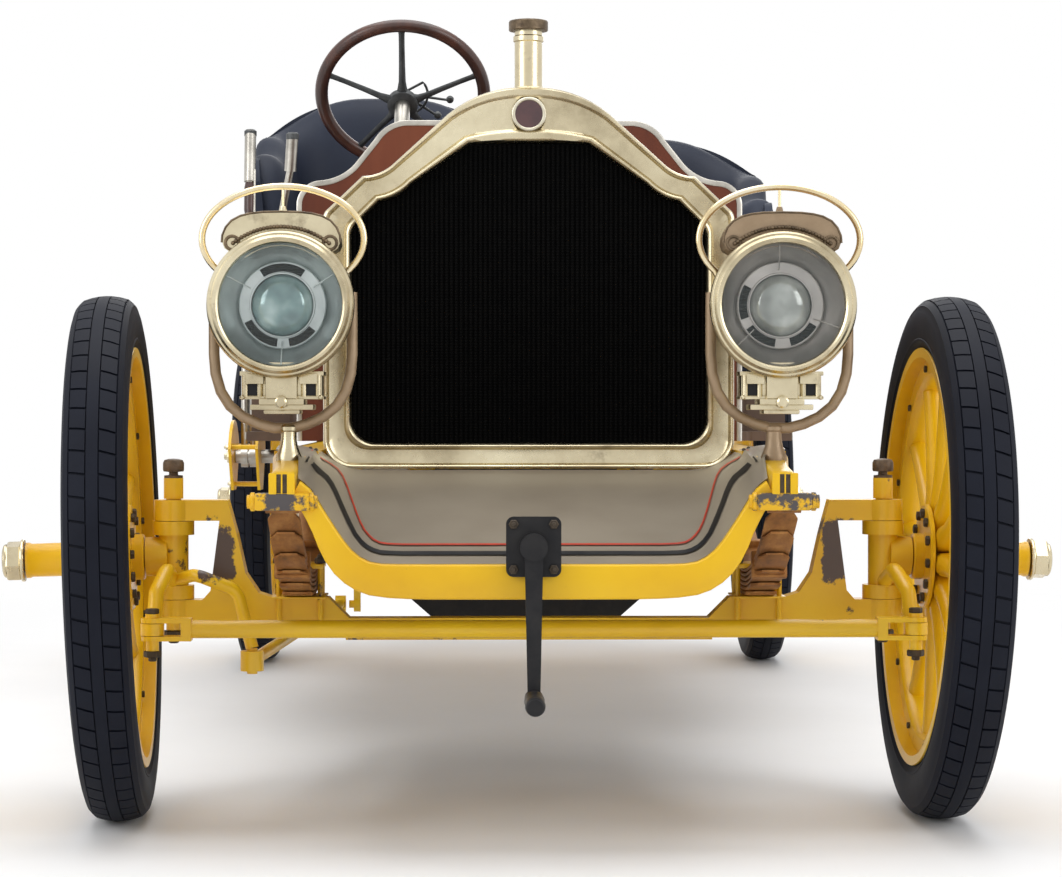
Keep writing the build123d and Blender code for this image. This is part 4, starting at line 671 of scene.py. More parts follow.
# Springs. Half-elliptic packs of oil-tempered leaves, lightly rusted, each clamped to its axle by four
# bolts and banded with rebound clips.
leaf_steel = mottled(
    "leaf_steel", (22.0, 8.0, 0.7, (1, 0.25, 1)),
    ((0.3, (0.11, 0.050, 0.022)), (0.5, (0.34, 0.150, 0.045)), (0.72, (0.56, 0.30, 0.10))),
    roughness=(0.34, 0.34), relief=(0.15, 0.0008), Metallic=0.7)
dress("rear_springs", leaf_steel)
eye_z, leaf_low, leaf_step, clip_reach = 0.5672, 0.3912, 0.008, 0.215
leaf_rise = eye_z - leaf_low - 0.050
leaves = Piece("front_spring_leaves", leaf_steel, "chassis", "spring_steel", 25)
spring_seats = Piece("front_spring_seats", forged_yellow, "chassis", "yellow_paint", 30)
for side in (-1, 1):
    for k in range(6):
        reach = eye_station - (0.072 * k if k else 0.012)
        rows = []
        for i in range(33):
            t = 2 * i / 32 - 1
            y = reach * t
            z = leaf_low + 0.044 - leaf_step * k + leaf_rise * (y / eye_station) ** 2
            taper = max(0.0, (abs(t) - 0.93) / 0.07)
            w = 0.0265 * (1 - 0.45 * taper ** 2)
            h = 0.0037 * (1 - 0.5 * taper)
            rows.append([(side * iron_x + w * cx, front_axle.y + y, z + h * cz) for cx, cz in (
                (1, 0), (0.97, 0.7), (0.88, 1), (0, 1), (-0.88, 1), (-0.97, 0.7), (-1, 0), (-0.97, -0.7),
                (-0.88, -1), (0, -1.12), (0.88, -1), (0.97, -0.7))])
        leaves.ends(leaves.grid(rows))
    for end in (-1, 1):
        leaves.turned([(0.009, -0.0265), (0.0160, -0.0265), (0.0160, 0.0265), (0.009, 0.0265)],
                      facing((side * iron_x, front_axle.y + end * eye_station, eye_z), (1, 0, 0)), 32,
                      closed=True)
        clip_z = leaf_low + 0.036 + leaf_rise * (clip_reach / eye_station) ** 2
        clip = Matrix.Translation((side * iron_x, front_axle.y + end * clip_reach, clip_z))
        leaves.block((0.060, 0.016, 0.046), clip @ Matrix.Rotation(end * 0.24, 4, "X"), 0.003)
    for wide, deep, tall, z in ((0.084, 0.090, 0.008, 0.4432), (0.092, 0.110, 0.0034, 0.3895),
                                (0.080, 0.084, 0.008, 0.3330)):
        spring_seats.block((wide, deep, tall), Matrix.Translation((side * iron_x, front_axle.y, z)), 0.0012)
    for dx in (-0.036, 0.036):
        for dy in (-0.034, 0.034):
            spring_seats.turned([(0.0045, 0.3300), (0.0045, 0.4560)],
                           Matrix.Translation((side * iron_x + dx, front_axle.y + dy, 0)), 12)
leaves.done(["front_springs"])
spring_seats.done()
spring_nuts = Piece("spring_bolt_nuts", bolt_iron, "chassis", "iron", 30)
rear_axle = sum(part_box("rear_axle"), Vector()) / 2
rear_axle.y = joint_of["wheel_rear_left_spin"]["pos_m"][1]
rear_spring_x = 0.490
for side in (-1, 1):
    for dx in (-0.036, 0.036):
        for dy in (-0.034, 0.034):
            at = (side * iron_x + dx, front_axle.y + dy, 0.448)
            spring_nuts.nut(Matrix.Translation(at), 0.017, 0.010)
        for dy in (-0.05, 0.05):
            at = (side * rear_spring_x + dx, rear_axle.y + dy, 0.402)
            spring_nuts.nut(Matrix.Translation(at) @ Matrix.Rotation(pi, 4, "X"), 0.018, 0.010)
spring_nuts.done()

# Front apron. A bent steel sheet from the cross bar and the dumb irons up to the radiator's foot, in the
# bonnet's taupe enamel, lined out along its hem with a black line and a thin red one.
taupe = Finish("taupe_enamel", Roughness=0.32, Coat_Weight=0.3, Coat_Roughness=0.15)
haze = taupe.speckle(4.0, 6.0, 0.6)
taupe_enamel = taupe.feed(
    Base_Color=taupe.ramp(haze, (0.3, (0.245, 0.205, 0.155)), (0.7, (0.315, 0.270, 0.208))),
    Roughness=0.28 + haze * 0.2, Normal=taupe.raise_by(taupe.speckle(45.0, 3.0), 0.06, 0.002))
black_enamel = mottled(
    "black_enamel", (30.0, 7.0, 0.7), ((0.35, (0.004, 0.004, 0.006)), (0.75, (0.018, 0.017, 0.017))),
    roughness=(0.30, 0.3), relief=(0.12, 0.001), Specular_IOR_Level=0.3)
red = Finish("lining_red")
red_lining = red.feed(Base_Color=red.ramp(red.speckle(60.0), (0.3, (0.42, 0.03, 0.012)),
                                          (0.7, (0.55, 0.05, 0.02))),
                      Roughness=0.3 + red.speckle(20.0) * 0.2)
shell_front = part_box("radiator_shell")[0].y
hem = [(0, 0.469, 0.013), (0.090, 0.469, 0.013), (0.170, 0.469, 0.013), (0.215, 0.4692, 0.013),
       (0.243, 0.470, 0.013), (0.262, 0.4735, 0.013), (0.278, 0.4815, 0.013), (0.292, 0.4935, 0.013),
       (0.304, 0.5085, 0.013), (0.315, 0.525, 0.013), (0.326, 0.542, 0.013), (0.337, 0.560, 0.013),
       (0.347, 0.577, 0.014), (0.356, 0.5895, 0.015), (0.366, 0.5990, 0.018), (0.3775, 0.6060, 0.030),
       (0.384, 0.6400, 0.140), (0.402, 0.6475, 0.200), (0.428, 0.6495, 0.240)]
top_edge = [(0, 0.610), (0.090, 0.610), (0.170, 0.610), (0.215, 0.610), (0.243, 0.610), (0.262, 0.610),
            (0.278, 0.610), (0.292, 0.611), (0.304, 0.6125), (0.315, 0.615), (0.326, 0.6185), (0.337, 0.624),
            (0.347, 0.631), (0.356, 0.638), (0.366, 0.644), (0.3775, 0.648), (0.384, 0.6495), (0.402, 0.6505),
            (0.428, 0.6505)]


def bulge(x, share):
    """How far the sheet stands above a straight line; it clears the rails where it passes over them."""
    over_rail = max(0.0, 1 - abs(abs(x) - 0.370) / 0.014)
    return (0.006 + 0.018 * over_rail) * (1 - (2 * share - 1) ** 2)


def on_apron(i, share, side, lift=0.0):
    """A point of the apron: at a station of its hem, and some way from the hem to the radiator's foot."""
    (x, z, back), (top_x, top_z) = hem[i], top_edge[i]
    foot = Vector((side * x, bar_y + back, z))
    head = Vector((side * top_x, shell_front - 0.003, top_z))
    return foot.lerp(head, share) + Vector((0, -lift * 0.7, lift * 0.7 + bulge(x, share)))


apron = Piece("apron_sheet", taupe_enamel, "chassis", "taupe_paint", 60)
stations = [(i, -1) for i in reversed(range(1, len(hem)))] + [(i, 1) for i in range(len(hem))]
rows = []
for i, side in stations:
    upper = [on_apron(i, k / 8, side) for k in range(9)]
    rows.append(upper + [p - Vector((0, -0.0012, 0.0025)) for p in reversed(upper)])
apron.ends(apron.grid(rows))
apron.done(["front_apron"])


def apron_under(x, z):
    """The apron's point that lies behind (x, z) as the car is seen from ahead, just proud of the sheet."""
    reach = min(abs(x), 0.4279)
    i = next(k for k in range(len(hem) - 1) if hem[k + 1][0] > reach)
    run = (reach - hem[i][0]) / (hem[i + 1][0] - hem[i][0])
    (low, back), (low_next, back_next) = hem[i][1:], hem[i + 1][1:]
    low, back = low + (low_next - low) * run, back + (back_next - back) * run
    high = top_edge[i][1] + (top_edge[i + 1][1] - top_edge[i][1]) * run
    share = (z - low) / (high - low)
    y = (bar_y + back) * (1 - share) + (shell_front - 0.003) * share
    stand = bulge(hem[i][0], share) * (1 - run) + bulge(hem[i + 1][0], share) * run
    return Vector((x, y - 0.004 - 0.003 * run * (i > 12), z + 0.001 + stand))


for name, finish, width, run in (
    ("apron_black_line", black_enamel, 0.0046, (
        (0, 0.482), (0.085, 0.482), (0.170, 0.482), (0.210, 0.482), (0.234, 0.4828), (0.247, 0.4838),
        (0.258, 0.4868), (0.268, 0.4915), (0.278, 0.4990), (0.288, 0.5100), (0.297, 0.5240), (0.306, 0.5390),
        (0.315, 0.5550), (0.324, 0.5710), (0.333, 0.5855), (0.342, 0.5970), (0.351, 0.6055), (0.361, 0.6125),
        (0.372, 0.6190))),
    ("apron_red_line", red_lining, 0.0021, (
        (0, 0.493), (0.085, 0.493), (0.170, 0.493), (0.210, 0.493), (0.236, 0.4940), (0.249, 0.4958),
        (0.259, 0.5000), (0.267, 0.5060), (0.275, 0.5140), (0.283, 0.5255), (0.290, 0.5380), (0.297, 0.5520),
        (0.304, 0.5660), (0.312, 0.5820), (0.321, 0.5975), (0.331, 0.6095), (0.343, 0.6185), (0.357, 0.6265),
        (0.372, 0.6325))),
):
    line = Piece(name, finish, "chassis", "black_paint", 60)
    path = [(-x, z) for x, z in reversed(run)] + list(run[1:])
    rows = []
    for i, (x, z) in enumerate(path):
        before, after = path[max(i - 1, 0)], path[min(i + 1, len(path) - 1)]
        along = Vector((after[0] - before[0], after[1] - before[1])).normalized()
        rows.append([apron_under(x + along.y * d, z - along.x * d) for d in (-width / 2, 0, width / 2)])
    line.grid(rows, closed_row=False)
    line.done()
apron_rivets = Piece("apron_rivets", bolt_iron, "chassis", "iron", 30)
for i, share in ((14, 0.72), (15, 0.80)):
    for side in (-1, 1):
        at = on_apron(i, share, side, 0.0005)
        apron_rivets.turned([(0.0035, 0), (0.003, 0.0016), (0.0012, 0.0026), (0, 0.0028)],
                            facing(at, (0, -1, 1)), 10)
apron_rivets.done()

# Starting crank. A forged arm on a shaft that runs in a plate bolted to the cross bar, with a turning
# wooden grip, all painted black.
dress("starting_crank", black_enamel)
dress("crank_plate", black_enamel)
crank_at = Vector(joint_of["crank_turn"]["pos_m"])
plate_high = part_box("crank_plate")[1]
plate_bolts = Piece("crank_plate_bolts", bolt_iron, "chassis", "iron", 30)
for dx in (-0.032, 0.032):
    for dz in (-0.036, 0.036):
        plate_bolts.nut(facing((dx, plate_high.y - 0.0097, crank_at.z + dz), (0, -1, 0)), 0.014, 0.007)
plate_bolts.done()
crank_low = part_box("starting_crank")[0]
grip = Piece("crank_grip", black_enamel, "starting_crank", "black_paint", 30)
handle = facing((0, crank_low.y, crank_at.z - 0.240), (0, 1, 0))
grip.turned([(0, 0), (0.009, 0.0005), (0.0145, 0.004), (0.0160, 0.012), (0.0150, 0.025), (0.0150, 0.060),
             (0.0162, 0.090), (0.0158, 0.104), (0.013, 0.108), (0.013, 0.110)], handle, 28)
grip.done()

# Radiator. A soldered brass shell with a rolled outer edge and a beaded opening, a vertical-tube core
# behind it painted black, and a tall filler neck under a dark bronze screw cap.
shell_low, shell_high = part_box("radiator_shell")
shell_back = shell_high.y
half_width, shell_bottom, shell_top = shell_high.x, shell_low.z, 1.281


def outline(parts, steps=8):
    """Half an outline from its lines, (end), and arcs, (through, end), closed by its mirror image."""
    half = [parts[0]]
    for part in parts[1:]:
        if len(part) == 2 and hasattr(part[0], "__len__"):
            half += [(p.x, p.y) for p in arc(half[-1], part[0], part[1], steps)][1:]
        else:
            start = half[-1]
            half += [(start[0] + (part[0] - start[0]) * i / 5, start[1] + (part[1] - start[1]) * i / 5)
                     for i in range(1, 6)]
    return half + [(-x, z) for x, z in reversed(half[1:-1])]


outer = outline([
    (0, shell_top), ((0.076, 1.271), (0.142, 1.234)), (0.236, 1.148), ((0.262, 1.131), (0.292, 1.125)),
    (0.352, 1.068), ((0.3585, 1.061), (half_width, 1.052)), (half_width, shell_bottom + 0.045),
    ((half_width - 0.0132, shell_bottom + 0.0132), (half_width - 0.045, shell_bottom)), (0, shell_bottom)])
core_side, core_bottom, core_round = 0.311, 0.657, 0.043
inner = outline([
    (0, 1.183), ((0.055, 1.1831), (0.104, 1.181)), (0.206, 1.110), ((0.232, 1.090), (0.262, 1.080)),
    (0.300, 1.042), ((0.308, 1.030), (core_side, 1.016)), (core_side, core_bottom + core_round),
    ((0.2984, 0.6696), (core_side - core_round, core_bottom)), (0, core_bottom)])
shell = Piece("radiator_brass_shell", aged_brass, "chassis", "brass", 40)
depth = shell_back - shell_front
rows = []
for t, y in ((0, depth), (0, 0.012), (0.012, 0.003), (0.05, -0.003), (0.10, -0.0045), (0.15, -0.003),
             (0.19, 0.001), (0.22, 0.003), (0.50, 0.0055), (0.74, 0.004), (0.78, 0.001), (0.83, -0.003),
             (0.89, -0.0042), (0.95, -0.002), (0.985, 0.004), (1.0, 0.012), (1.0, depth)):
    rows.append([(a[0] + (b[0] - a[0]) * t, shell_front + y, a[1] + (b[1] - a[1]) * t)
                 for a, b in zip(outer, inner)])
shell.grid(rows, closed_column=True)
neck = Matrix.Translation((0, shell_front + 0.056, 0))
shell.turned([(0.0300, 1.262), (0.0300, 1.281), (0.0285, 1.284), (0.0252, 1.286), (0.0245, 1.290),
              (0.0245, 1.365), (0.0268, 1.367), (0.0268, 1.375), (0.0245, 1.377), (0.0245, 1.3852),
              (0.0200, 1.3852)], neck, 40)
shell.done(["radiator_shell"])

dark_bronze = mottled(
    "dark_bronze", (50.0, 5.0), ((0.3, (0.05, 0.035, 0.022)), (0.7, (0.22, 0.16, 0.10))),
    roughness=(0.30, 0.25), Metallic=0.8)
cap_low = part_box("radiator_cap")[0]
knob = Piece("radiator_screw_cap", dark_bronze, "chassis", "brass", 25)
knob.turned([(0.020, 0), (0.0338, 0), (0.0348, 0.0015), (0.0348, 0.0155), (0.0335, 0.0178), (0.0290, 0.0192),
             (0.0150, 0.0212), (0, 0.0219)], neck @ Matrix.Translation((0, 0, cap_low.z)), 48)
knob.done(["radiator_cap"])

core = Finish("core_black", Specular_IOR_Level=0.06)
core_dust = core.speckle(30.0, 8.0, 0.7)
fins = core.node("ShaderNodeTexWave", {"wave_type": "BANDS", "bands_direction": "Z"},
                 {"Vector": core.place(), "Scale": 60.0})
core_black = core.feed(
    Base_Color=core.ramp(core_dust, (0.35, (0.0012, 0.0012, 0.0014)), (0.75, (0.004, 0.0038, 0.0036))),
    Roughness=0.75 + core_dust * 0.2, Normal=core.raise_by(fins, 0.5, 0.002))
dress("radiator_core", core_black)
core_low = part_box("radiator_core")[0]
tubes = Piece("radiator_tubes", core_black, "chassis", "core_black")


def core_top(x):
    """Height of the opening's upper edge over a point of its width."""
    x = abs(x)
    edge = [p for p in inner if p[0] >= 0 and p[1] > 0.9]
    for a, b in zip(edge, edge[1:]):
        if a[0] <= x <= b[0] and b[0] > a[0]:
            return a[1] + (b[1] - a[1]) * (x - a[0]) / (b[0] - a[0])
    return edge[-1][1]


def core_foot(x):
    """Height of the opening's lower edge over a point of its width, round corners and all."""
    past = min(max(abs(x) - core_side + core_round, 0), core_round)
    return core_bottom + core_round - (core_round ** 2 - past ** 2) ** 0.5


pitch = 0.0085
for i in range(-36, 37):
    x = i * pitch
    low, high = core_foot(x) + 0.002, core_top(x) - 0.002
    tubes.tube([(x, core_low.y - 0.002, low), (x, core_low.y - 0.002, high)], 0.0027, 6)
tubes.done()

# Radiator badge. A round plain disc of dark red enamel in a pale brass rim, left bare.
dark_enamel = mottled(
    "dark_enamel", (40.0, 4.0), ((0.3, (0.050, 0.016, 0.020)), (0.7, (0.085, 0.028, 0.030))),
    roughness=(0.16, 0.1), Coat_Weight=0.6)
badge_low, badge_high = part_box("radiator_badge")
badge_at = facing((0, badge_high.y, (badge_low.z + badge_high.z) / 2), (0, -1, 0))
field = Piece("badge_enamel", dark_enamel, "chassis", "enamel", 30)
field.turned([(0.0248, 0), (0.0248, 0.0025), (0.020, 0.0034), (0, 0.0038)], badge_at, 48)
field.done(["radiator_badge"])
pale_brass = mottled(
    "pale_brass", (30.0, 4.0), ((0.3, (0.62, 0.56, 0.42)), (0.7, (0.84, 0.80, 0.66))),
    roughness=(0.20, 0.2), Metallic=0.85)
rim = Piece("badge_rim", pale_brass, "chassis", "brass", 30)
rim.turned([(0.0242, 0), (0.030, 0), (0.030, 0.003), (0.0285, 0.0042), (0.0255, 0.0042), (0.0242, 0.003)],
           badge_at, 48, closed=True)
rim.done()

# Bonnet. Two steel halves that lift about a brass rail, in satin taupe enamel, each with a row of
# pressed louvres, a rolled foot, two spring catches and a lifting handle.
bonnet_low, bonnet_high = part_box("bonnet_left")
bonnet_side = bonnet_high.x
for side, word in ((-1, "right"), (1, "left")):
    dress(f"bonnet_{word}", taupe_enamel)
    louvres = Piece(f"bonnet_louvres_{word}", taupe_enamel, f"bonnet_{word}", "taupe_paint", 50)
    for i in range(16):
        y = bonnet_low.y + 0.20 + i * 0.048
        rows = []
        for z, lift in ((0.760, 0.0), (0.772, 0.007), (0.790, 0.0095), (0.940, 0.0095), (0.958, 0.007),
                        (0.970, 0.0)):
            rows.append([(side * (bonnet_side - 0.0005), y - 0.013, z),
                         (side * (bonnet_side + lift * 0.45), y - 0.006, z),
                         (side * (bonnet_side + lift), y + 0.006, z),
                         (side * (bonnet_side + lift), y + 0.0085, z),
                         (side * (bonnet_side - 0.0005), y + 0.0087, z)])
        louvres.grid(rows, closed_row=False)
    louvres.done()
    foot = Piece(f"bonnet_foot_bead_{word}", taupe_enamel, f"bonnet_{word}", "taupe_paint")
    foot.tube([(side * (bonnet_side - 0.002), bonnet_low.y + 0.002, bonnet_low.z + 0.004),
               (side * (bonnet_side - 0.002), bonnet_high.y - 0.002, bonnet_low.z + 0.004)], 0.004, 10)
    foot.done()
    catches = Piece(f"bonnet_catches_{word}", aged_brass, f"bonnet_{word}", "brass", 30)
    for y in (bonnet_low.y + 0.12, bonnet_high.y - 0.12):
        at = (side * bonnet_side, y, bonnet_low.z + 0.052)
        catches.block((0.004, 0.034, 0.060), Matrix.Translation(at), 0.0012)
        catches.tube([(at[0] + side * 0.003, y, at[2] + 0.018), (at[0] + side * 0.014, y, at[2] + 0.012),
                      (at[0] + side * 0.016, y, at[2] - 0.006), (at[0] + side * 0.006, y, at[2] - 0.020)],
                     0.0045, 10)
    handle = (side * (bonnet_side + 0.0005), (bonnet_low.y + bonnet_high.y) / 2, 0.715)
    catches.tube([(handle[0], handle[1] - 0.055, handle[2]),
                  (handle[0] + side * 0.022, handle[1] - 0.05, handle[2]),
                  (handle[0] + side * 0.026, handle[1], handle[2]),
                  (handle[0] + side * 0.022, handle[1] + 0.05, handle[2]),
                  (handle[0], handle[1] + 0.055, handle[2])], 0.0045, 12)
    catches.done()
dress("bonnet_rail", aged_brass)

# Engine, gearbox, undertray and exhaust. Sand-cast iron and sheet steel below and inside the bonnet,
# heat-browned along the pipe.
cast_iron = mottled(
    "cast_iron", (70.0, 7.0, 0.68), ((0.3, (0.035, 0.034, 0.034)), (0.7, (0.105, 0.10, 0.095))),
    roughness=(0.5, 0.3), relief=(0.4, 0.0015), Metallic=0.3)
browned_pipe = mottled(
    "browned_pipe", (12.0, 8.0, 0.7), ((0.3, (0.05, 0.035, 0.028)), (0.7, (0.19, 0.11, 0.07))),
    roughness=(0.5, 0.3), relief=(0.25, 0.0015), Metallic=0.5)
for node in ("engine_block", "gearbox"):
    dress(node, cast_iron)
dress("exhaust", browned_pipe)
dress("undertray", black_enamel)

# Dash. A mahogany board with swept shoulders, bound along its edge with bright metal strip; two
# plain-faced gauges and a sight-feed oiler stand on its rear.
mahogany = Finish("mahogany", Coat_Weight=0.08, Coat_Roughness=0.2, Specular_IOR_Level=0.3)
figure = mahogany.speckle(5.0, 7.0, 0.6, (1, 1, 0.16))
pores = mahogany.speckle(60.0, 4.0, 0.6, (1, 1, 0.05))
mahogany_board = mahogany.feed(
    Base_Color=mahogany.blend(pores * 0.3, mahogany.ramp(
        figure, (0.3, (0.085, 0.018, 0.007)), (0.5, (0.140, 0.032, 0.012)),
        (0.72, (0.20, 0.052, 0.020))), (0.055, 0.014, 0.008, 1)),
    Roughness=0.30 + figure * 0.2, Normal=mahogany.raise_by(pores, 0.10, 0.0008))
dress("dash_board", mahogany_board)

pale_nickel = mottled(
    "pale_nickel", (16.0, 6.0, 0.65), ((0.3, (0.36, 0.34, 0.30)), (0.7, (0.64, 0.61, 0.55))),
    roughness=(0.20, 0.22), relief=(0.08, 0.0008), Metallic=1.0)

dash_low, dash_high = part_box("dash_board")
dash_side, dash_foot, dash_top = dash_high.x, dash_low.z, dash_high.z
shoulder = [(dash_side, dash_foot), (dash_side, dash_top - 0.30), (dash_side, dash_top - 0.184)]
for through, end in (((dash_side - 0.013, dash_top - 0.149), (dash_side - 0.049, dash_top - 0.132)),
                     ((dash_side - 0.097, dash_top - 0.118), (dash_side - 0.127, dash_top - 0.094))):
    shoulder += [(p.x, p.y) for p in arc(shoulder[-1], through, end, 10)][1:]
shoulder += [(dash_side - 0.1485, dash_top - 0.067), (dash_side - 0.170, dash_top - 0.040)]
shoulder += [(p.x, p.y) for p in arc(shoulder[-1], (dash_side - 0.200, dash_top - 0.011),
                                     (dash_side - 0.245, dash_top), 10)][1:]
edge_path = [(-x, z) for x, z in shoulder] + [(0, dash_top)] + [(x, z) for x, z in reversed(shoulder)]
strip = Piece("dash_edge_strip", pale_nickel, "chassis", "bright_steel", 50)
strip.band(edge_path, [(-0.009, dash_low.y - 0.0012), (0.0, dash_low.y - 0.0026),
                       (0.0025, dash_low.y - 0.0012), (0.0025, dash_high.y + 0.0012),
                       (0.0, dash_high.y + 0.0026), (-0.009, dash_high.y + 0.0012),
                       (-0.009, dash_high.y - 0.0005), (-0.0005, dash_high.y - 0.0005),
                       (-0.0005, dash_low.y + 0.0005), (-0.009, dash_low.y + 0.0005)])
strip.done()
dial_white = mottled(
    "dial_white", (30.0, 4.0), ((0.3, (0.58, 0.57, 0.52)), (0.7, (0.70, 0.69, 0.64))),
    roughness=(0.25, 0.1))
dials = Piece("dash_gauge_rims", aged_brass, "chassis", "brass", 30)
faces = Piece("dash_gauge_faces", dial_white, "chassis", "enamel", 30)
for x, z, r in ((-0.02, 1.19, 0.042), (0.10, 1.19, 0.042)):
    at = facing((x, dash_high.y, z), (0, 1, 0))
    dials.turned([(r - 0.004, 0), (r + 0.004, 0), (r + 0.004, 0.018), (r, 0.024), (r - 0.004, 0.023),
                  (r - 0.004, 0.014)], at, 40, closed=True)
    faces.turned([(r - 0.0035, 0.012), (r - 0.0035, 0.0165), (0, 0.0165)], at, 40)
oiler = facing((0.24, dash_high.y, 1.13), (0, 1, 0))
dials.block((0.10, 0.05, 0.05), oiler @ Matrix.Translation((0, 0, 0.0255)), 0.006)
for dx in (-0.032, 0, 0.032):
    dials.turned([(0.011, 0), (0.011, 0.006), (0.006, 0.010), (0.006, 0.030), (0.009, 0.032), (0.009, 0.038),
                  (0, 0.040)], Matrix.Translation((0.24 + dx, dash_high.y + 0.0255, 1.154)), 16)
dials.done()
faces.done()

# Floor, toe board, rear deck and pedals. Varnished brown boards on the frame, edged with bright strip;
# rubber ribs on the pads of three iron pedals.
varnished = Finish("varnished_boards", Coat_Weight=0.2, Coat_Roughness=0.25)
grain = varnished.speckle(6.0, 6.0, 0.6, (1, 0.12, 1))
seams = varnished.node("ShaderNodeTexWave", {"wave_type": "BANDS", "bands_direction": "X"},
                       {"Vector": varnished.place(), "Scale": 3.1})
joints = varnished.mask(seams, 0.0, 0.04)
brown_boards = varnished.feed(
    Base_Color=varnished.ramp(grain, (0.3, (0.075, 0.042, 0.026)), (0.7, (0.145, 0.085, 0.052))),
    Roughness=0.38 + grain * 0.25, Normal=varnished.raise_by(joints, 0.35, 0.002))
for node in ("body_floor", "toe_board", "rear_deck"):
    dress(node, brown_boards)
dress("pedals", bolt_iron)
floor_low, floor_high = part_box("body_floor")
edging = Piece("floor_edge_strip", pale_nickel, "chassis", "bright_steel", 50)
edge_back = floor_high.y - 0.002
for side in (-1, 1):
    edging.block((0.003, edge_back - floor_low.y - 0.004, 0.016),
                 Matrix.Translation((side * (floor_high.x + 0.001), (edge_back + floor_low.y) / 2,
                                     floor_low.z + 0.011)), 0.0008)
edging.done()
ribs = Piece("pedal_ribs", tyre_rubber, "chassis", "tyre_rubber", 40)
for x in (-0.370, -0.215, -0.150):
    pad = Matrix.Translation((x, front_axle.y + 1.464, 0.8616)) @ Matrix.Rotation(-pi / 6, 4, "X")
    for dz in (-0.024, -0.012, 0, 0.012, 0.024):
        ribs.block((0.048, 0.004, 0.006), pad @ Matrix.Translation((0, 0.0065, dz)), 0.0012)
ribs.done()

# Seats. Two bent-ply tubs covered in smooth navy leather, with a stuffed lining rolled over their arms
# and arched backs, and a crowned cushion with piped seams in each. The driver's stands higher.
hide = Finish("navy_leather", Specular_IOR_Level=0.28)
hide_cloud = hide.speckle(3.5, 6.0, 0.6)
creases = hide.speckle(26.0, 6.0, 0.62, (1, 1, 0.6))
pebble = hide.node("ShaderNodeTexVoronoi", {}, {"Vector": hide.place(), "Scale": 420.0})
navy_leather = hide.feed(
    Base_Color=hide.ramp(hide_cloud, (0.3, (0.008, 0.011, 0.022)), (0.55, (0.013, 0.018, 0.034)),
                         (0.8, (0.025, 0.032, 0.054))),
    Roughness=0.46 + hide_cloud * 0.24,
    Normal=hide.raise_by(creases * 0.8 + pebble * 0.25, 0.22, 0.0016))
dress("seat_shells", navy_leather)

seat_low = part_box("seat_shells")[0]
seat_x, seat_base, seat_front, seat_corner = 0.345, seat_low.z, seat_low.y, seat_low.y + 0.350
seat_crest, arm_drop, driver_lift = 1.433, 0.193, 0.112


def tub(z, inset, side_steps=10, bend_steps=8, back_steps=8):
    """The tub's outline at a height and an inset, from its left front round the back to its right front."""
    rise = z - seat_base
    half, corner = 0.250 + 0.103 * rise, seat_corner + 0.08 * rise
    x, r = half - 0.190, 0.190 - inset
    left = [(-half + inset, seat_front + (corner - seat_front) * i / side_steps) for i in range(side_steps)]
    left += [(-x - r * cos(pi / 2 * i / bend_steps), corner + r * sin(pi / 2 * i / bend_steps))
             for i in range(bend_steps)]
    back = [(-x + 2 * x * i / back_steps, corner + r) for i in range(back_steps + 1)]
    return left + back + [(-px, py) for px, py in reversed(left)]


def tub_top(x, y, crest):
    """Height of the tub's edge over a point: the arm's sweep or the back's arch, whichever is lower."""
    y0, arm = seat_front - 0.005, crest - arm_drop
    t = y - y0
    if t < 0.095:
        side = arm - 0.110 * (1 - min(max(t, 0) / 0.095, 1)) ** 2.2
    elif t < 0.260:
        side = arm
    else:
        side = arm + arm_drop * min((t - 0.260) / 0.240, 1.0) ** 1.25
    across = abs(x)
    if across < 0.060:
        arch = crest
    elif across < 0.312:
        arch = crest - 0.115 * ((across - 0.060) / 0.252) ** 1.9
    else:
        arch = crest - 0.115 - (across - 0.312) * 1.474
    return min(side, arch)


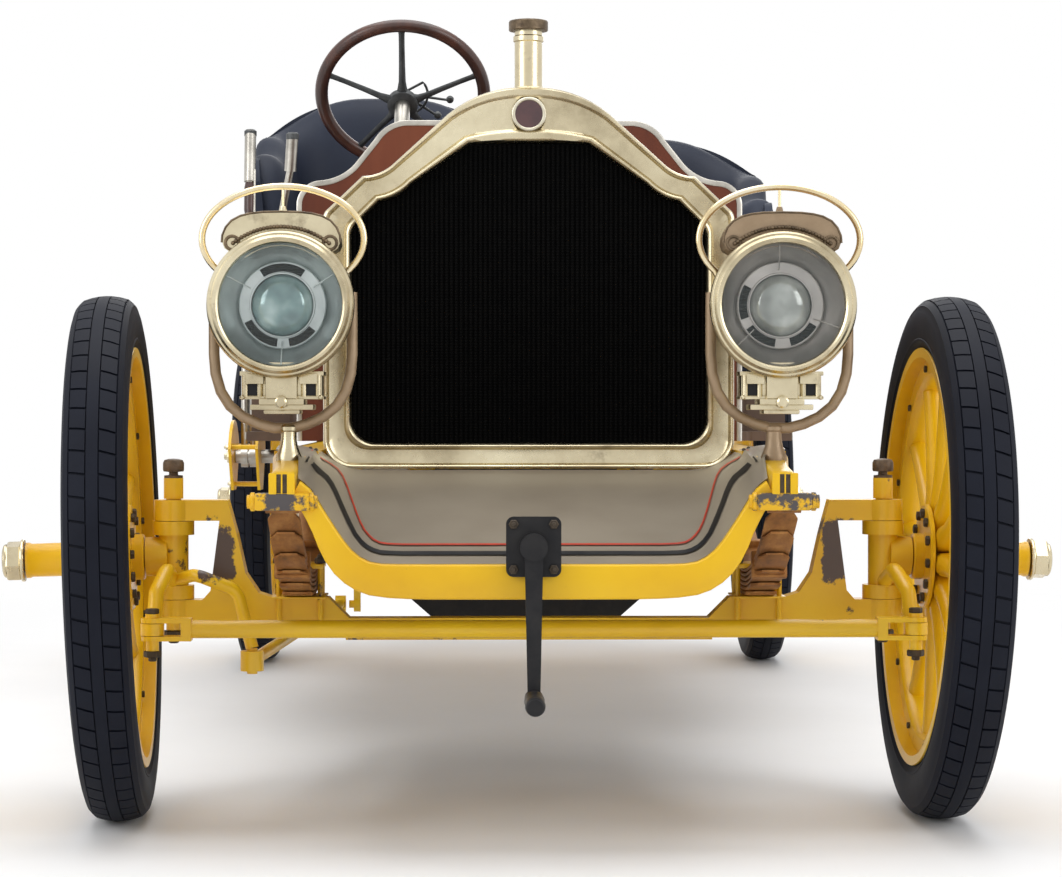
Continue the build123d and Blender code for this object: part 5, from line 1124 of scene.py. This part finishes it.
for x, lift, word in ((-seat_x, driver_lift, "driver"), (seat_x, 0.0, "passenger")):
    crest, box_top = seat_crest + lift, seat_base + 0.134 + lift
    at = Matrix.Translation((x, 0, 0))
    brim = [crest] * len(tub(crest, 0))
    for _ in range(4):
        brim = [tub_top(*tub(z, 0.010)[i], crest) for i, z in enumerate(brim)]
    lining = Piece(f"seat_lining_{word}", navy_leather, "chassis", "leather", 180)
    floor_z = box_top + 0.095
    rows = []
    for i, top in enumerate(brim):
        run = i / (len(brim) - 1)
        ease = min(1.0, min(run, 1 - run) * len(brim) / 1.5)
        plump = 0.006 + 0.006 * (0.5 + 0.5 * noise.noise((run * 7, lift * 9, 3.1)))
        section = [(0.0215, floor_z), (0.0215, top - 0.060), (0.0215, top - 0.004), (0.012, top + 0.0008),
                   (-0.001, top - 0.0005), (-0.0015, top - 0.034), (-0.0015, top - 0.058),
                   (-0.0075, top - 0.056), (-0.0105, top - 0.030), (-0.0060, top - 0.006),
                   (0.012, top + plump), (0.036, top + plump + 0.004), (0.062, top + plump - 0.004),
                   (0.080, top - 0.018), (0.089, top - 0.050), (0.093, top - 0.100)]
        for share in (0.35, 0.6, 0.85):
            z = (top - 0.100) * (1 - share) + (floor_z + 0.02) * share
            section.append((0.094 - 0.004 * share + 0.004 * noise.noise((run * 9, share * 5, lift)), z))
        section.append((0.078, floor_z))
        row = []
        for inset, z in section:
            px, py = tub(z, 0.0215 + (inset - 0.0215) * (0.35 + 0.65 * ease))[i]
            row.append((px, py + 0.012 * (1 - ease), z if z < floor_z + 0.03 else z - 0.004 * (1 - ease)))
        rows.append(row)
    lining.ends(lining.grid(rows, at))
    stuffed = lining.done(["seat_backs"], subdivide=1)

    cushion = Piece(f"seat_cushion_{word}", navy_leather, "chassis", "leather", 180)
    low = box_top + 0.001
    rows = []
    for z, inset in ((low + 0.002, 0.120), (low + 0.001, 0.050), (low + 0.002, 0.030), (low + 0.012, 0.0245),
                     (low + 0.045, 0.0225), (low + 0.085, 0.0235), (low + 0.104, 0.0265),
                     (low + 0.112, 0.034), (low + 0.121, 0.052), (low + 0.128, 0.085), (low + 0.132, 0.120),
                     (low + 0.134, 0.150)):
        loop = tub(z, inset)
        front = seat_front - 0.004 + inset
        if 0.02 < z - low < 0.11:
            front -= 0.006
        n = 9
        loop = [(px, max(py, front)) for px, py in loop]
        a, b = loop[-1], loop[0]
        loop += [(a[0] + (b[0] - a[0]) * k / n, front - 0.010 * (1 - (2 * k / n - 1) ** 2))
                 for k in range(1, n)]
        rows.append([(px, py, z + 0.003 * noise.noise((px * 6, py * 6, lift + 1)) * (z > low + 0.11))
                     for px, py in loop])
    cushion.ends(cushion.grid(rows, at))
    padded = cushion.done(["seat_cushions"], subdivide=2)
    piping = Piece(f"seat_piping_{word}", navy_leather, "chassis", "leather", 60)
    for level in (3, 7):
        loop = [(px, py - 0.0005, z) for px, py, z in rows[level]]
        piping.tube([at @ Vector(p) for p in loop], 0.0042, 8, closed=True)
    piping.tube([at @ Vector((*tub(top - 0.057, -0.0085)[i], top - 0.057)) for i, top in enumerate(brim)],
                0.0040, 8)
    piping.done()

# Fuel tank. A drum across the frame in the bonnet's taupe, held to its saddles by two brass straps, with
# rolled end rims and a filler cap.
dress("fuel_tank", taupe_enamel)
tank_low, tank_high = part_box("fuel_tank")
tank_y, tank_r = (tank_low.y + tank_high.y) / 2, (tank_high.y - tank_low.y) / 2
tank_z, strap_x = tank_high.z - 0.021 - tank_r, 0.400
straps = Piece("tank_straps", aged_brass, "chassis", "brass", 40)
for side in (-1, 1):
    around = facing((side * strap_x, tank_y, tank_z), (side, 0, 0))
    straps.turned([(tank_r, -0.018), (tank_r + 0.0022, -0.0175), (tank_r + 0.0022, 0.0175), (tank_r, 0.018)],
                  around, 72, closed=True)
    end = facing((side * (tank_high.x - 0.0005), tank_y, tank_z), (side, 0, 0))
    straps.turned([(tank_r + 0.0005, -0.012), (tank_r + 0.0025, -0.010), (tank_r + 0.0025, -0.001),
                   (tank_r - 0.004, 0.0005), (tank_r - 0.010, -0.002), (tank_r - 0.010, -0.006)],
                  end, 72, closed=True)
straps.done()
filler = Piece("tank_filler_cap", aged_brass, "chassis", "brass", 30)
mouth = Matrix.Translation((0, tank_y, tank_high.z - 0.016))
filler.turned([(0.0345, 0), (0.0385, 0.001), (0.0385, 0.014), (0.034, 0.0165), (0.018, 0.019), (0, 0.0195)],
              mouth, 40)
for turn in (0, pi / 2):
    filler.block((0.070, 0.007, 0.008), mouth @ Matrix.Rotation(turn, 4, "Z")
                 @ Matrix.Translation((0, 0, 0.0185)), 0.0015)
filler.done()

# Head lamps. Acetylene projectors of thin brass: a rolled bezel and glass before a dulled reflector with
# a bull's-eye lens, a chimney hood above, a burner case below, a bail to lift them by, and a bronzed fork
# in a socket on the frame. The left one is duller, in bronzed hood and socket, smoked and clouded inside.
dull_reflector = mottled(
    "dull_reflector", (9.0, 5.0, 0.6), ((0.3, (0.32, 0.36, 0.36)), (0.7, (0.58, 0.63, 0.62))),
    roughness=(0.26, 0.2), Metallic=0.85)
smoked_reflector = mottled(
    "smoked_reflector", (9.0, 5.0, 0.6), ((0.3, (0.27, 0.255, 0.24)), (0.7, (0.48, 0.455, 0.43))),
    roughness=(0.28, 0.2), Metallic=0.85)
bulls_eye = mottled(
    "bulls_eye_glass", (16.0, 3.0, 0.5),
    ((0.3, (0.05, 0.09, 0.095)), (0.5, (0.15, 0.25, 0.25)), (0.72, (0.46, 0.58, 0.56))),
    roughness=(0.10, 0.12), Coat_Weight=1.0, Coat_Roughness=0.03, Metallic=0.35)
clouded_eye = mottled(
    "clouded_glass", (16.0, 3.0, 0.5),
    ((0.3, (0.12, 0.13, 0.12)), (0.5, (0.27, 0.29, 0.27)), (0.72, (0.52, 0.55, 0.52))),
    roughness=(0.12, 0.12), Coat_Weight=1.0, Coat_Roughness=0.03, Metallic=0.35)
pane = Finish("lamp_pane", Alpha=0.03, Specular_IOR_Level=0.3)
clear_pane = pane.feed(
    Base_Color=pane.ramp(pane.speckle(12.0), (0.3, (0.72, 0.82, 0.80)), (0.7, (0.82, 0.90, 0.88))),
    Roughness=0.04 + pane.speckle(30.0) * 0.05)
golden_bail = mottled(
    "golden_bail", (11.0, 6.0, 0.6),
    ((0.3, (0.66, 0.50, 0.27)), (0.5, (0.80, 0.67, 0.42)), (0.72, (0.88, 0.81, 0.64))),
    roughness=(0.16, 0.18), Metallic=1.0)
bronzed_bracket = mottled(
    "bronzed_bracket", (14.0, 6.0, 0.65), ((0.3, (0.26, 0.180, 0.105)), (0.7, (0.40, 0.29, 0.185))),
    roughness=(0.30, 0.25), relief=(0.12, 0.001), Metallic=0.35)
lamp_x, lamp_front, lamp_z = 0.411, front_axle.y - 0.350, 0.888
lamp_middle = lamp_front + 0.074


def ring_part(r_in, r_out, first, last, steps=14):
    """A flat arc-shaped plate's outline, its angles in degrees from the lamp's left."""
    turns = [radians(first + (last - first) * i / steps) for i in range(steps + 1)]
    return [(r_out * cos(a), r_out * sin(a)) for a in turns] + [
        (r_in * cos(a), r_in * sin(a)) for a in reversed(turns)]


for side, word, wires, slots, hood_metal, mirror_metal, eye_glass in (
    (-1, "right", (152, 30, 270), ((57, 123), (205, 262), (280, 322)),
     aged_brass, dull_reflector, bulls_eye),
    (1, "left", (93, 338, 222), ((150, 200), (215, 262), (285, 330)),
     bronzed_bracket, smoked_reflector, clouded_eye),
):
    x = side * lamp_x
    face = Matrix.Translation((x, lamp_front, lamp_z)) @ Matrix(
        ((1, 0, 0, 0), (0, 0, 1, 0), (0, 1, 0, 0), (0, 0, 0, 1)))
    body = Piece(f"lamp_body_{word}", aged_brass, "chassis", "brass", 30)
    body.turned([(0.1005, 0.016), (0.1005, 0.0045), (0.1020, 0.0010), (0.1050, -0.0010), (0.1090, -0.0005),
                 (0.1120, 0.0025), (0.1135, 0.0045), (0.1165, 0.0048), (0.1195, 0.0075), (0.1210, 0.012),
                 (0.1205, 0.020), (0.1175, 0.0265), (0.110, 0.030), (0.0975, 0.031), (0.0950, 0.034),
                 (0.0950, 0.040), (0.0935, 0.041), (0.0935, 0.118), (0.0950, 0.119), (0.0950, 0.124),
                 (0.092, 0.126), (0.0895, 0.140), (0.080, 0.160), (0.064, 0.177), (0.040, 0.187),
                 (0.012, 0.190), (0.012, 0.181), (0.060, 0.171), (0.085, 0.140), (0.091, 0.120),
                 (0.092, 0.060), (0.1005, 0.030)], face, 72, closed=True)
    body.done()
    hood = Piece(f"lamp_hood_{word}", hood_metal, "chassis", "brass", 30)
    half = [(0, 0.1515), (0.030, 0.1508), (0.050, 0.1485), (0.066, 0.1445), (0.080, 0.1370), (0.0895, 0.1260),
            (0.0950, 0.1130), (0.0960, 0.1010), (0.0925, 0.0920), (0.0850, 0.0870)]
    half += [(0.0965 * cos(radians(a)), 0.0965 * sin(radians(a))) for a in range(52, 91, 6)] + [(0, 0.0965)]
    slot = half + [(-px, pz) for px, pz in reversed(half[1:-1])]
    hood.plate(slot, 0.090, face @ Matrix.Translation((0, 0, 0.0265)))
    hood.turned([(0.014, 0.1465), (0.014, 0.149), (0.009, 0.152), (0.006, 0.158), (0.0045, 0.164)],
                Matrix.Translation((x, lamp_middle, lamp_z)), 20)
    hood.done()
    trim = Piece(f"lamp_hood_trim_{word}", dark_bronze, "chassis", "brass", 50)
    upper = [face @ Vector((px * 1.012, pz + 0.0006, 0.0262)) for px, pz in slot if pz > 0.100]
    upper.sort(key=lambda p: -p.x)
    trim.tube(upper, 0.0018, 8)
    for i in range(31):
        a = radians(52 + 76 * i / 30)
        bead = face @ Matrix.Translation((0.1275 * cos(a), 0.1275 * sin(a), 0.024)) @ Matrix.Rotation(
            pi, 4, "X")
        trim.turned([(0.0036, 0), (0.0034, 0.0022), (0.0018, 0.0038), (0, 0.0042)], bead, 8)
    for flank in (-1, 1):
        curl = [face @ Vector((flank * 0.080 + 0.011 * cos(a), 0.101 + 0.011 * sin(a), 0.024))
                for a in [tau * k / 20 for k in range(20)]]
        trim.tube(curl, 0.0026, 8, closed=True)
    trim.done()

    mirror = Piece(f"lamp_reflector_{word}", mirror_metal, "chassis", "brass", 30)
    mirror.turned([(0.1003, 0.012), (0.0985, 0.022), (0.094, 0.036), (0.086, 0.052), (0.0775, 0.063),
                   (0.0725, 0.067), (0.0720, 0.060), (0.0705, 0.0585), (0.0545, 0.0575), (0.0535, 0.0540),
                   (0.0515, 0.0540), (0.0510, 0.064), (0.030, 0.072), (0.0005, 0.074), (0.0005, 0.0755),
                   (0.052, 0.0685), (0.074, 0.0690), (0.079, 0.0645), (0.0875, 0.053), (0.0955, 0.037),
                   (0.0995, 0.022), (0.1008, 0.0125)], face, 64, closed=True)
    wire = [Vector((cos(radians(a)), sin(radians(a)), 0)) for a in wires]
    for w in wire:
        mirror.tube([face @ (w * 0.060 + Vector((0, 0, 0.0565))), face @ (w * 0.060 + Vector((0, 0, 0.050))),
                     face @ (w * 0.0985 + Vector((0, 0, 0.020)))], 0.0011, 6)
    mirror.done()
    # Painted shade: thin near-black plates fill the reflector's vent slots and stand in for the dark lamp
    # interior seen through them.
    vent_shadows = Piece(f"lamp_vents_{word}", core_black, "chassis", "black_paint", 40)
    for first, last in slots:
        vent_shadows.plate(ring_part(0.0555, 0.0690, first, last), 0.0012,
                    face @ Matrix.Translation((0, 0, 0.0566)))
    vent_shadows.done()
    eye = Piece(f"lamp_bulls_eye_{word}", eye_glass, "chassis", "lamp_glass", 60)
    eye.turned([(0.0512, 0.062), (0.0505, 0.055), (0.044, 0.0475), (0.034, 0.0415), (0.022, 0.0375),
                (0.010, 0.0358), (0, 0.0355)], face, 48)
    eye.done()
    glass = Piece(f"lamp_glass_{word}", clear_pane, "chassis", "lamp_glass", 40)
    glass.turned([(0, 0.0050), (0.060, 0.0062), (0.1002, 0.0085), (0.1002, 0.0105), (0.060, 0.0082),
                  (0, 0.0070)], face, 64)
    glass.done(["lamp_glasses"])

    case = Piece(f"lamp_burner_{word}", aged_brass, "chassis", "brass", 30)
    centre = Matrix.Translation((x, lamp_middle, lamp_z))
    for size, place, ease in (
        ((0.138, 0.074, 0.007), (0, 0, -0.1125), 0.0012), ((0.132, 0.060, 0.036), (0, 0, -0.133), 0.0015),
        ((0.138, 0.074, 0.005), (0, 0, -0.1525), 0.0012), ((0.052, 0.096, 0.060), (0, 0, -0.124), 0.003),
        ((0.074, 0.088, 0.010), (0, 0, -0.159), 0.002), ((0.104, 0.080, 0.009), (0, 0, -0.168), 0.002),
        ((0.060, 0.074, 0.008), (0, 0, -0.1755), 0.003), ((0.030, 0.094, 0.018), (-0.044, 0, -0.121), 0.002),
        ((0.030, 0.094, 0.018), (0.044, 0, -0.121), 0.002)):
        case.block(size, centre @ Matrix.Translation(place), ease)
    for dx in (-0.060, -0.036, 0.036, 0.060):
        case.turned([(0.0045, 0), (0.0045, 0.036)], centre @ Matrix.Translation((dx, -0.034, -0.151)), 10)
    for dx in (-0.064, -0.024, 0.024, 0.064):
        case.turned([(0.004, 0), (0.004, 0.004), (0.0025, 0.006), (0, 0.0062)],
                    centre @ Matrix.Translation((dx, -0.037, -0.152)) @ Matrix.Rotation(pi / 2, 4, "X"), 10)
    case.turned([(0.010, 0), (0.010, 0.010), (0.007, 0.012), (0.007, 0.016), (0, 0.017)],
                centre @ Matrix.Translation((0, -0.047, -0.160)) @ Matrix.Rotation(pi / 2, 4, "X"), 16)
    for flank in (-1, 1):
        hinge = centre @ Matrix.Translation((flank * 0.1035, 0, 0)) @ Matrix.Rotation(flank * pi / 2, 4, "Y")
        case.block((0.052, 0.040, 0.020), hinge @ Matrix.Translation((0, 0, -0.004)), 0.002)
        case.turned([(0.016, 0), (0.016, 0.006), (0.010, 0.008), (0.010, 0.014), (0, 0.015)], hinge, 20)
    case.done(["lamp_bodies"])
    # Painted shade: two thin black blocks on the burner case's front stand in for the dark inside seen
    # through its windows.
    window_shadows = Piece(f"lamp_windows_{word}", black_enamel, "chassis", "black_paint", 40)
    for dx in (-0.048, 0.048):
        window_shadows.block((0.020, 0.004, 0.026), centre @ Matrix.Translation((dx, -0.0310, -0.136)), 0.0006)
    window_shadows.done()

    bail = Piece(f"lamp_bail_{word}", golden_bail, "chassis", "brass", 60)
    loop = [centre @ Vector((0.134 * cos(radians(a)), 0, 0.110 + 0.087 * sin(radians(a))))
            for a in range(-41, 222, 6)]
    bail.tube([centre @ Vector((0.090, 0, 0.026))] + loop + [centre @ Vector((-0.090, 0, 0.026))], 0.0056, 14)
    bail.tube([centre @ Vector((0, 0, 0.160)), centre @ Vector((0, 0, 0.196))], 0.0024, 10)
    bail.done(["lamp_bails"])

    fork = Piece(f"lamp_fork_{word}", bronzed_bracket, "chassis", "bracket_paint", 60)
    half = [(0.1135, 0.022), (0.1140, -0.020), (0.1140, -0.080), (0.1115, -0.112), (0.1030, -0.142),
            (0.0880, -0.166), (0.0660, -0.184), (0.0400, -0.196), (0.0150, -0.2025)]
    path = half + [(-px, pz) for px, pz in reversed(half)]
    fork.tube([centre @ Vector((px, 0.0, pz)) for px, pz in path], 0.009, 16)
    fork.done(["lamp_forks"])
    socket = Piece(f"lamp_socket_{word}", hood_metal, "chassis", "brass", 30)
    foot = Matrix.Translation((side * 0.402, lamp_middle, 0.6315))
    socket.turned([(0.0215, 0), (0.0215, 0.007), (0.0195, 0.012), (0.0150, 0.024), (0.0130, 0.036),
                   (0.0125, 0.048), (0.0155, 0.050), (0.0155, 0.056), (0.011, 0.060)], foot, 28)
    socket.done()

# Steering column, box and drop arm. A nickelled column from its cast box up to the wheel, and a forged
# arm that swings the drag link.
dress("steering_column", pale_nickel)
dress("drop_arm", forged_yellow)
turn = joint_of["steering_wheel_turn"]
hub_at, column_axis = Vector(turn["pos_m"]), Vector(turn["axis"]).normalized()
if column_axis.z < 0:
    column_axis = -column_axis
wheel_side = Vector((1, 0, 0))
wheel_foot = column_axis.cross(wheel_side)
helm = Matrix.Translation(hub_at) @ Matrix((wheel_side, wheel_foot, column_axis)).transposed().to_4x4()

# Steering wheel. A rim of oiled dark wood on five blackened spokes, one straight up, with the spark and
# throttle levers on a fixed sector at the hub.
dark_wood = mottled(
    "rim_wood", (12.0, 7.0, 0.62, (1, 1, 0.4)),
    ((0.3, (0.022, 0.010, 0.007)), (0.5, (0.050, 0.018, 0.012)), (0.74, (0.120, 0.038, 0.020))),
    roughness=(0.26, 0.25), relief=(0.06, 0.0006), Coat_Weight=0.4, Coat_Roughness=0.15)
blackened = mottled(
    "blackened_steel", (24.0, 6.0, 0.62), ((0.3, (0.045, 0.048, 0.050)), (0.7, (0.115, 0.120, 0.122))),
    roughness=(0.34, 0.25), relief=(0.10, 0.0008), Metallic=0.75)
hoop = Piece("steering_rim", dark_wood, "steering_wheel", "rim_wood", 60)
rim_section = [(0.2030 + 0.0162 * cos(tau * k / 16), 0.0140 * sin(tau * k / 16)) for k in range(16)]
hoop.turned(rim_section, helm, 96, closed=True)
hoop.done(["steering_wheel"])
spider = Piece("steering_spider", blackened, "steering_wheel", "iron", 40)
spider.turned([(0.0195, -0.0487), (0.033, -0.0487), (0.038, -0.046), (0.038, -0.030), (0.030, -0.024),
               (0.024, -0.020), (0.024, -0.016), (0.016, -0.014), (0, -0.014)], helm, 40)
for i in range(5):
    arm = helm @ Matrix.Rotation(radians(72 * i - 90), 4, "Z")
    rows = []
    for r, w, t, z in ((0.020, 0.0155, 0.0065, -0.0355), (0.040, 0.0125, 0.0058, -0.0345),
                       (0.060, 0.0088, 0.0050, -0.0300), (0.100, 0.0078, 0.0045, -0.0195),
                       (0.150, 0.0072, 0.0042, -0.0085), (0.180, 0.0075, 0.0042, -0.0030),
                       (0.190, 0.0090, 0.0045, -0.0012), (0.1965, 0.0135, 0.0050, -0.0005)):
        rows.append([(r, w * cos(tau * k / 12), z + t * sin(tau * k / 12)) for k in range(12)])
    spider.ends(spider.grid(rows, arm))
spider.done()
sector = Piece("spark_throttle_levers", blackened, "chassis", "iron", 40)
sector.turned([(0, -0.012), (0.014, -0.012), (0.014, 0.006), (0.010, 0.010), (0, 0.011)], helm, 24)
bow = [(0.062 * cos(radians(a)), 0.062 * sin(radians(a)), 0.004) for a in range(-35, 90, 8)]
sector.tube([helm @ Vector(p) for p in [(0.008, -0.010, 0.002)] + bow + [(0.008, 0.008, 0.002)]], 0.0032, 8)
for degrees_round, reach in ((12, 0.120), (40, 0.112)):
    out = Vector((cos(radians(degrees_round)), sin(radians(degrees_round)), 0))
    sector.tube([helm @ (out * 0.008 + Vector((0, 0, 0.006))), helm @ (out * 0.060 + Vector((0, 0, 0.010))),
                 helm @ (out * reach + Vector((0, 0, 0.014)))], [0.0045, 0.0036, 0.0030], 8)
    sector.turned([(0.003, 0), (0.0085, 0.003), (0.010, 0.009), (0.007, 0.015), (0, 0.017)],
                  helm @ Matrix.Translation(out * reach + Vector((0, 0, 0.010))), 16)
sector.done()

# Hand levers and quadrant. Nickelled tubes with darker wooden grips and release rods, on a cross shaft,
# between two yellow sector plates.
dress("hand_levers", pale_nickel)
dress("lever_quadrant", yellow_enamel)
lever_foot = Vector((0, front_axle.y + 1.900, 0.600))
brake_x, gear_x = -0.655, -0.634
grips = Piece("lever_grips", dark_wood, "chassis", "rim_wood", 50)
caps = Piece("lever_caps", blackened, "chassis", "iron", 40)
release = Piece("lever_release_rods", pale_nickel, "chassis", "bright_steel", 50)
for x, dy, dz, top in ((brake_x + 0.005, 0.120, 0.795, -1), (gear_x + 0.102, -0.110, 0.766, 1)):
    knob = lever_foot + Vector((x, dy, dz))
    caps.turned([(0.0146, -0.012), (0.0152, -0.010), (0.0152, 0.001), (0.010, 0.005), (0, 0.006)],
                Matrix.Translation(knob), 20)
grips.tube([lever_foot + Vector((brake_x + 0.005, y, z)) for y, z in ((0.083, 0.585), (0.086, 0.600),
                                                                     (0.095, 0.655), (0.097, 0.668))],
           [0.0100, 0.0135, 0.0135, 0.0110], 14)
release.tube([lever_foot + Vector(p) for p in ((brake_x + 0.0175, 0.094, 0.700),
                                               (brake_x + 0.0175, 0.060, 0.450),
                                               (brake_x + 0.0135, 0.020, 0.200),
                                               (brake_x + 0.0135, 0.0, 0.060))],
             0.0030, 8)
release.tube([lever_foot + Vector(p) for p in ((gear_x + 0.088, -0.082, 0.655),
                                               (gear_x + 0.060, -0.052, 0.560),
                                               (gear_x + 0.020, -0.008, 0.250),
                                               (gear_x + 0.0135, 0.0, 0.060))],
             0.0026, 8)
grips.done()
caps.done()
release.done()
quadrant_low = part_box("lever_quadrant")[0]
sector_nuts = Piece("quadrant_nuts", aged_brass, "chassis", "brass", 30)
for dy, dz in ((-0.096, 0.024), (0.096, 0.024), (0, -0.066), (0, 0)):
    outboard = facing((quadrant_low.x, lever_foot.y + dy, lever_foot.z + dz), (-1, 0, 0))
    sector_nuts.nut(outboard, 0.014 if dz else 0.030, 0.007 if dz else 0.012)
sector_nuts.done()
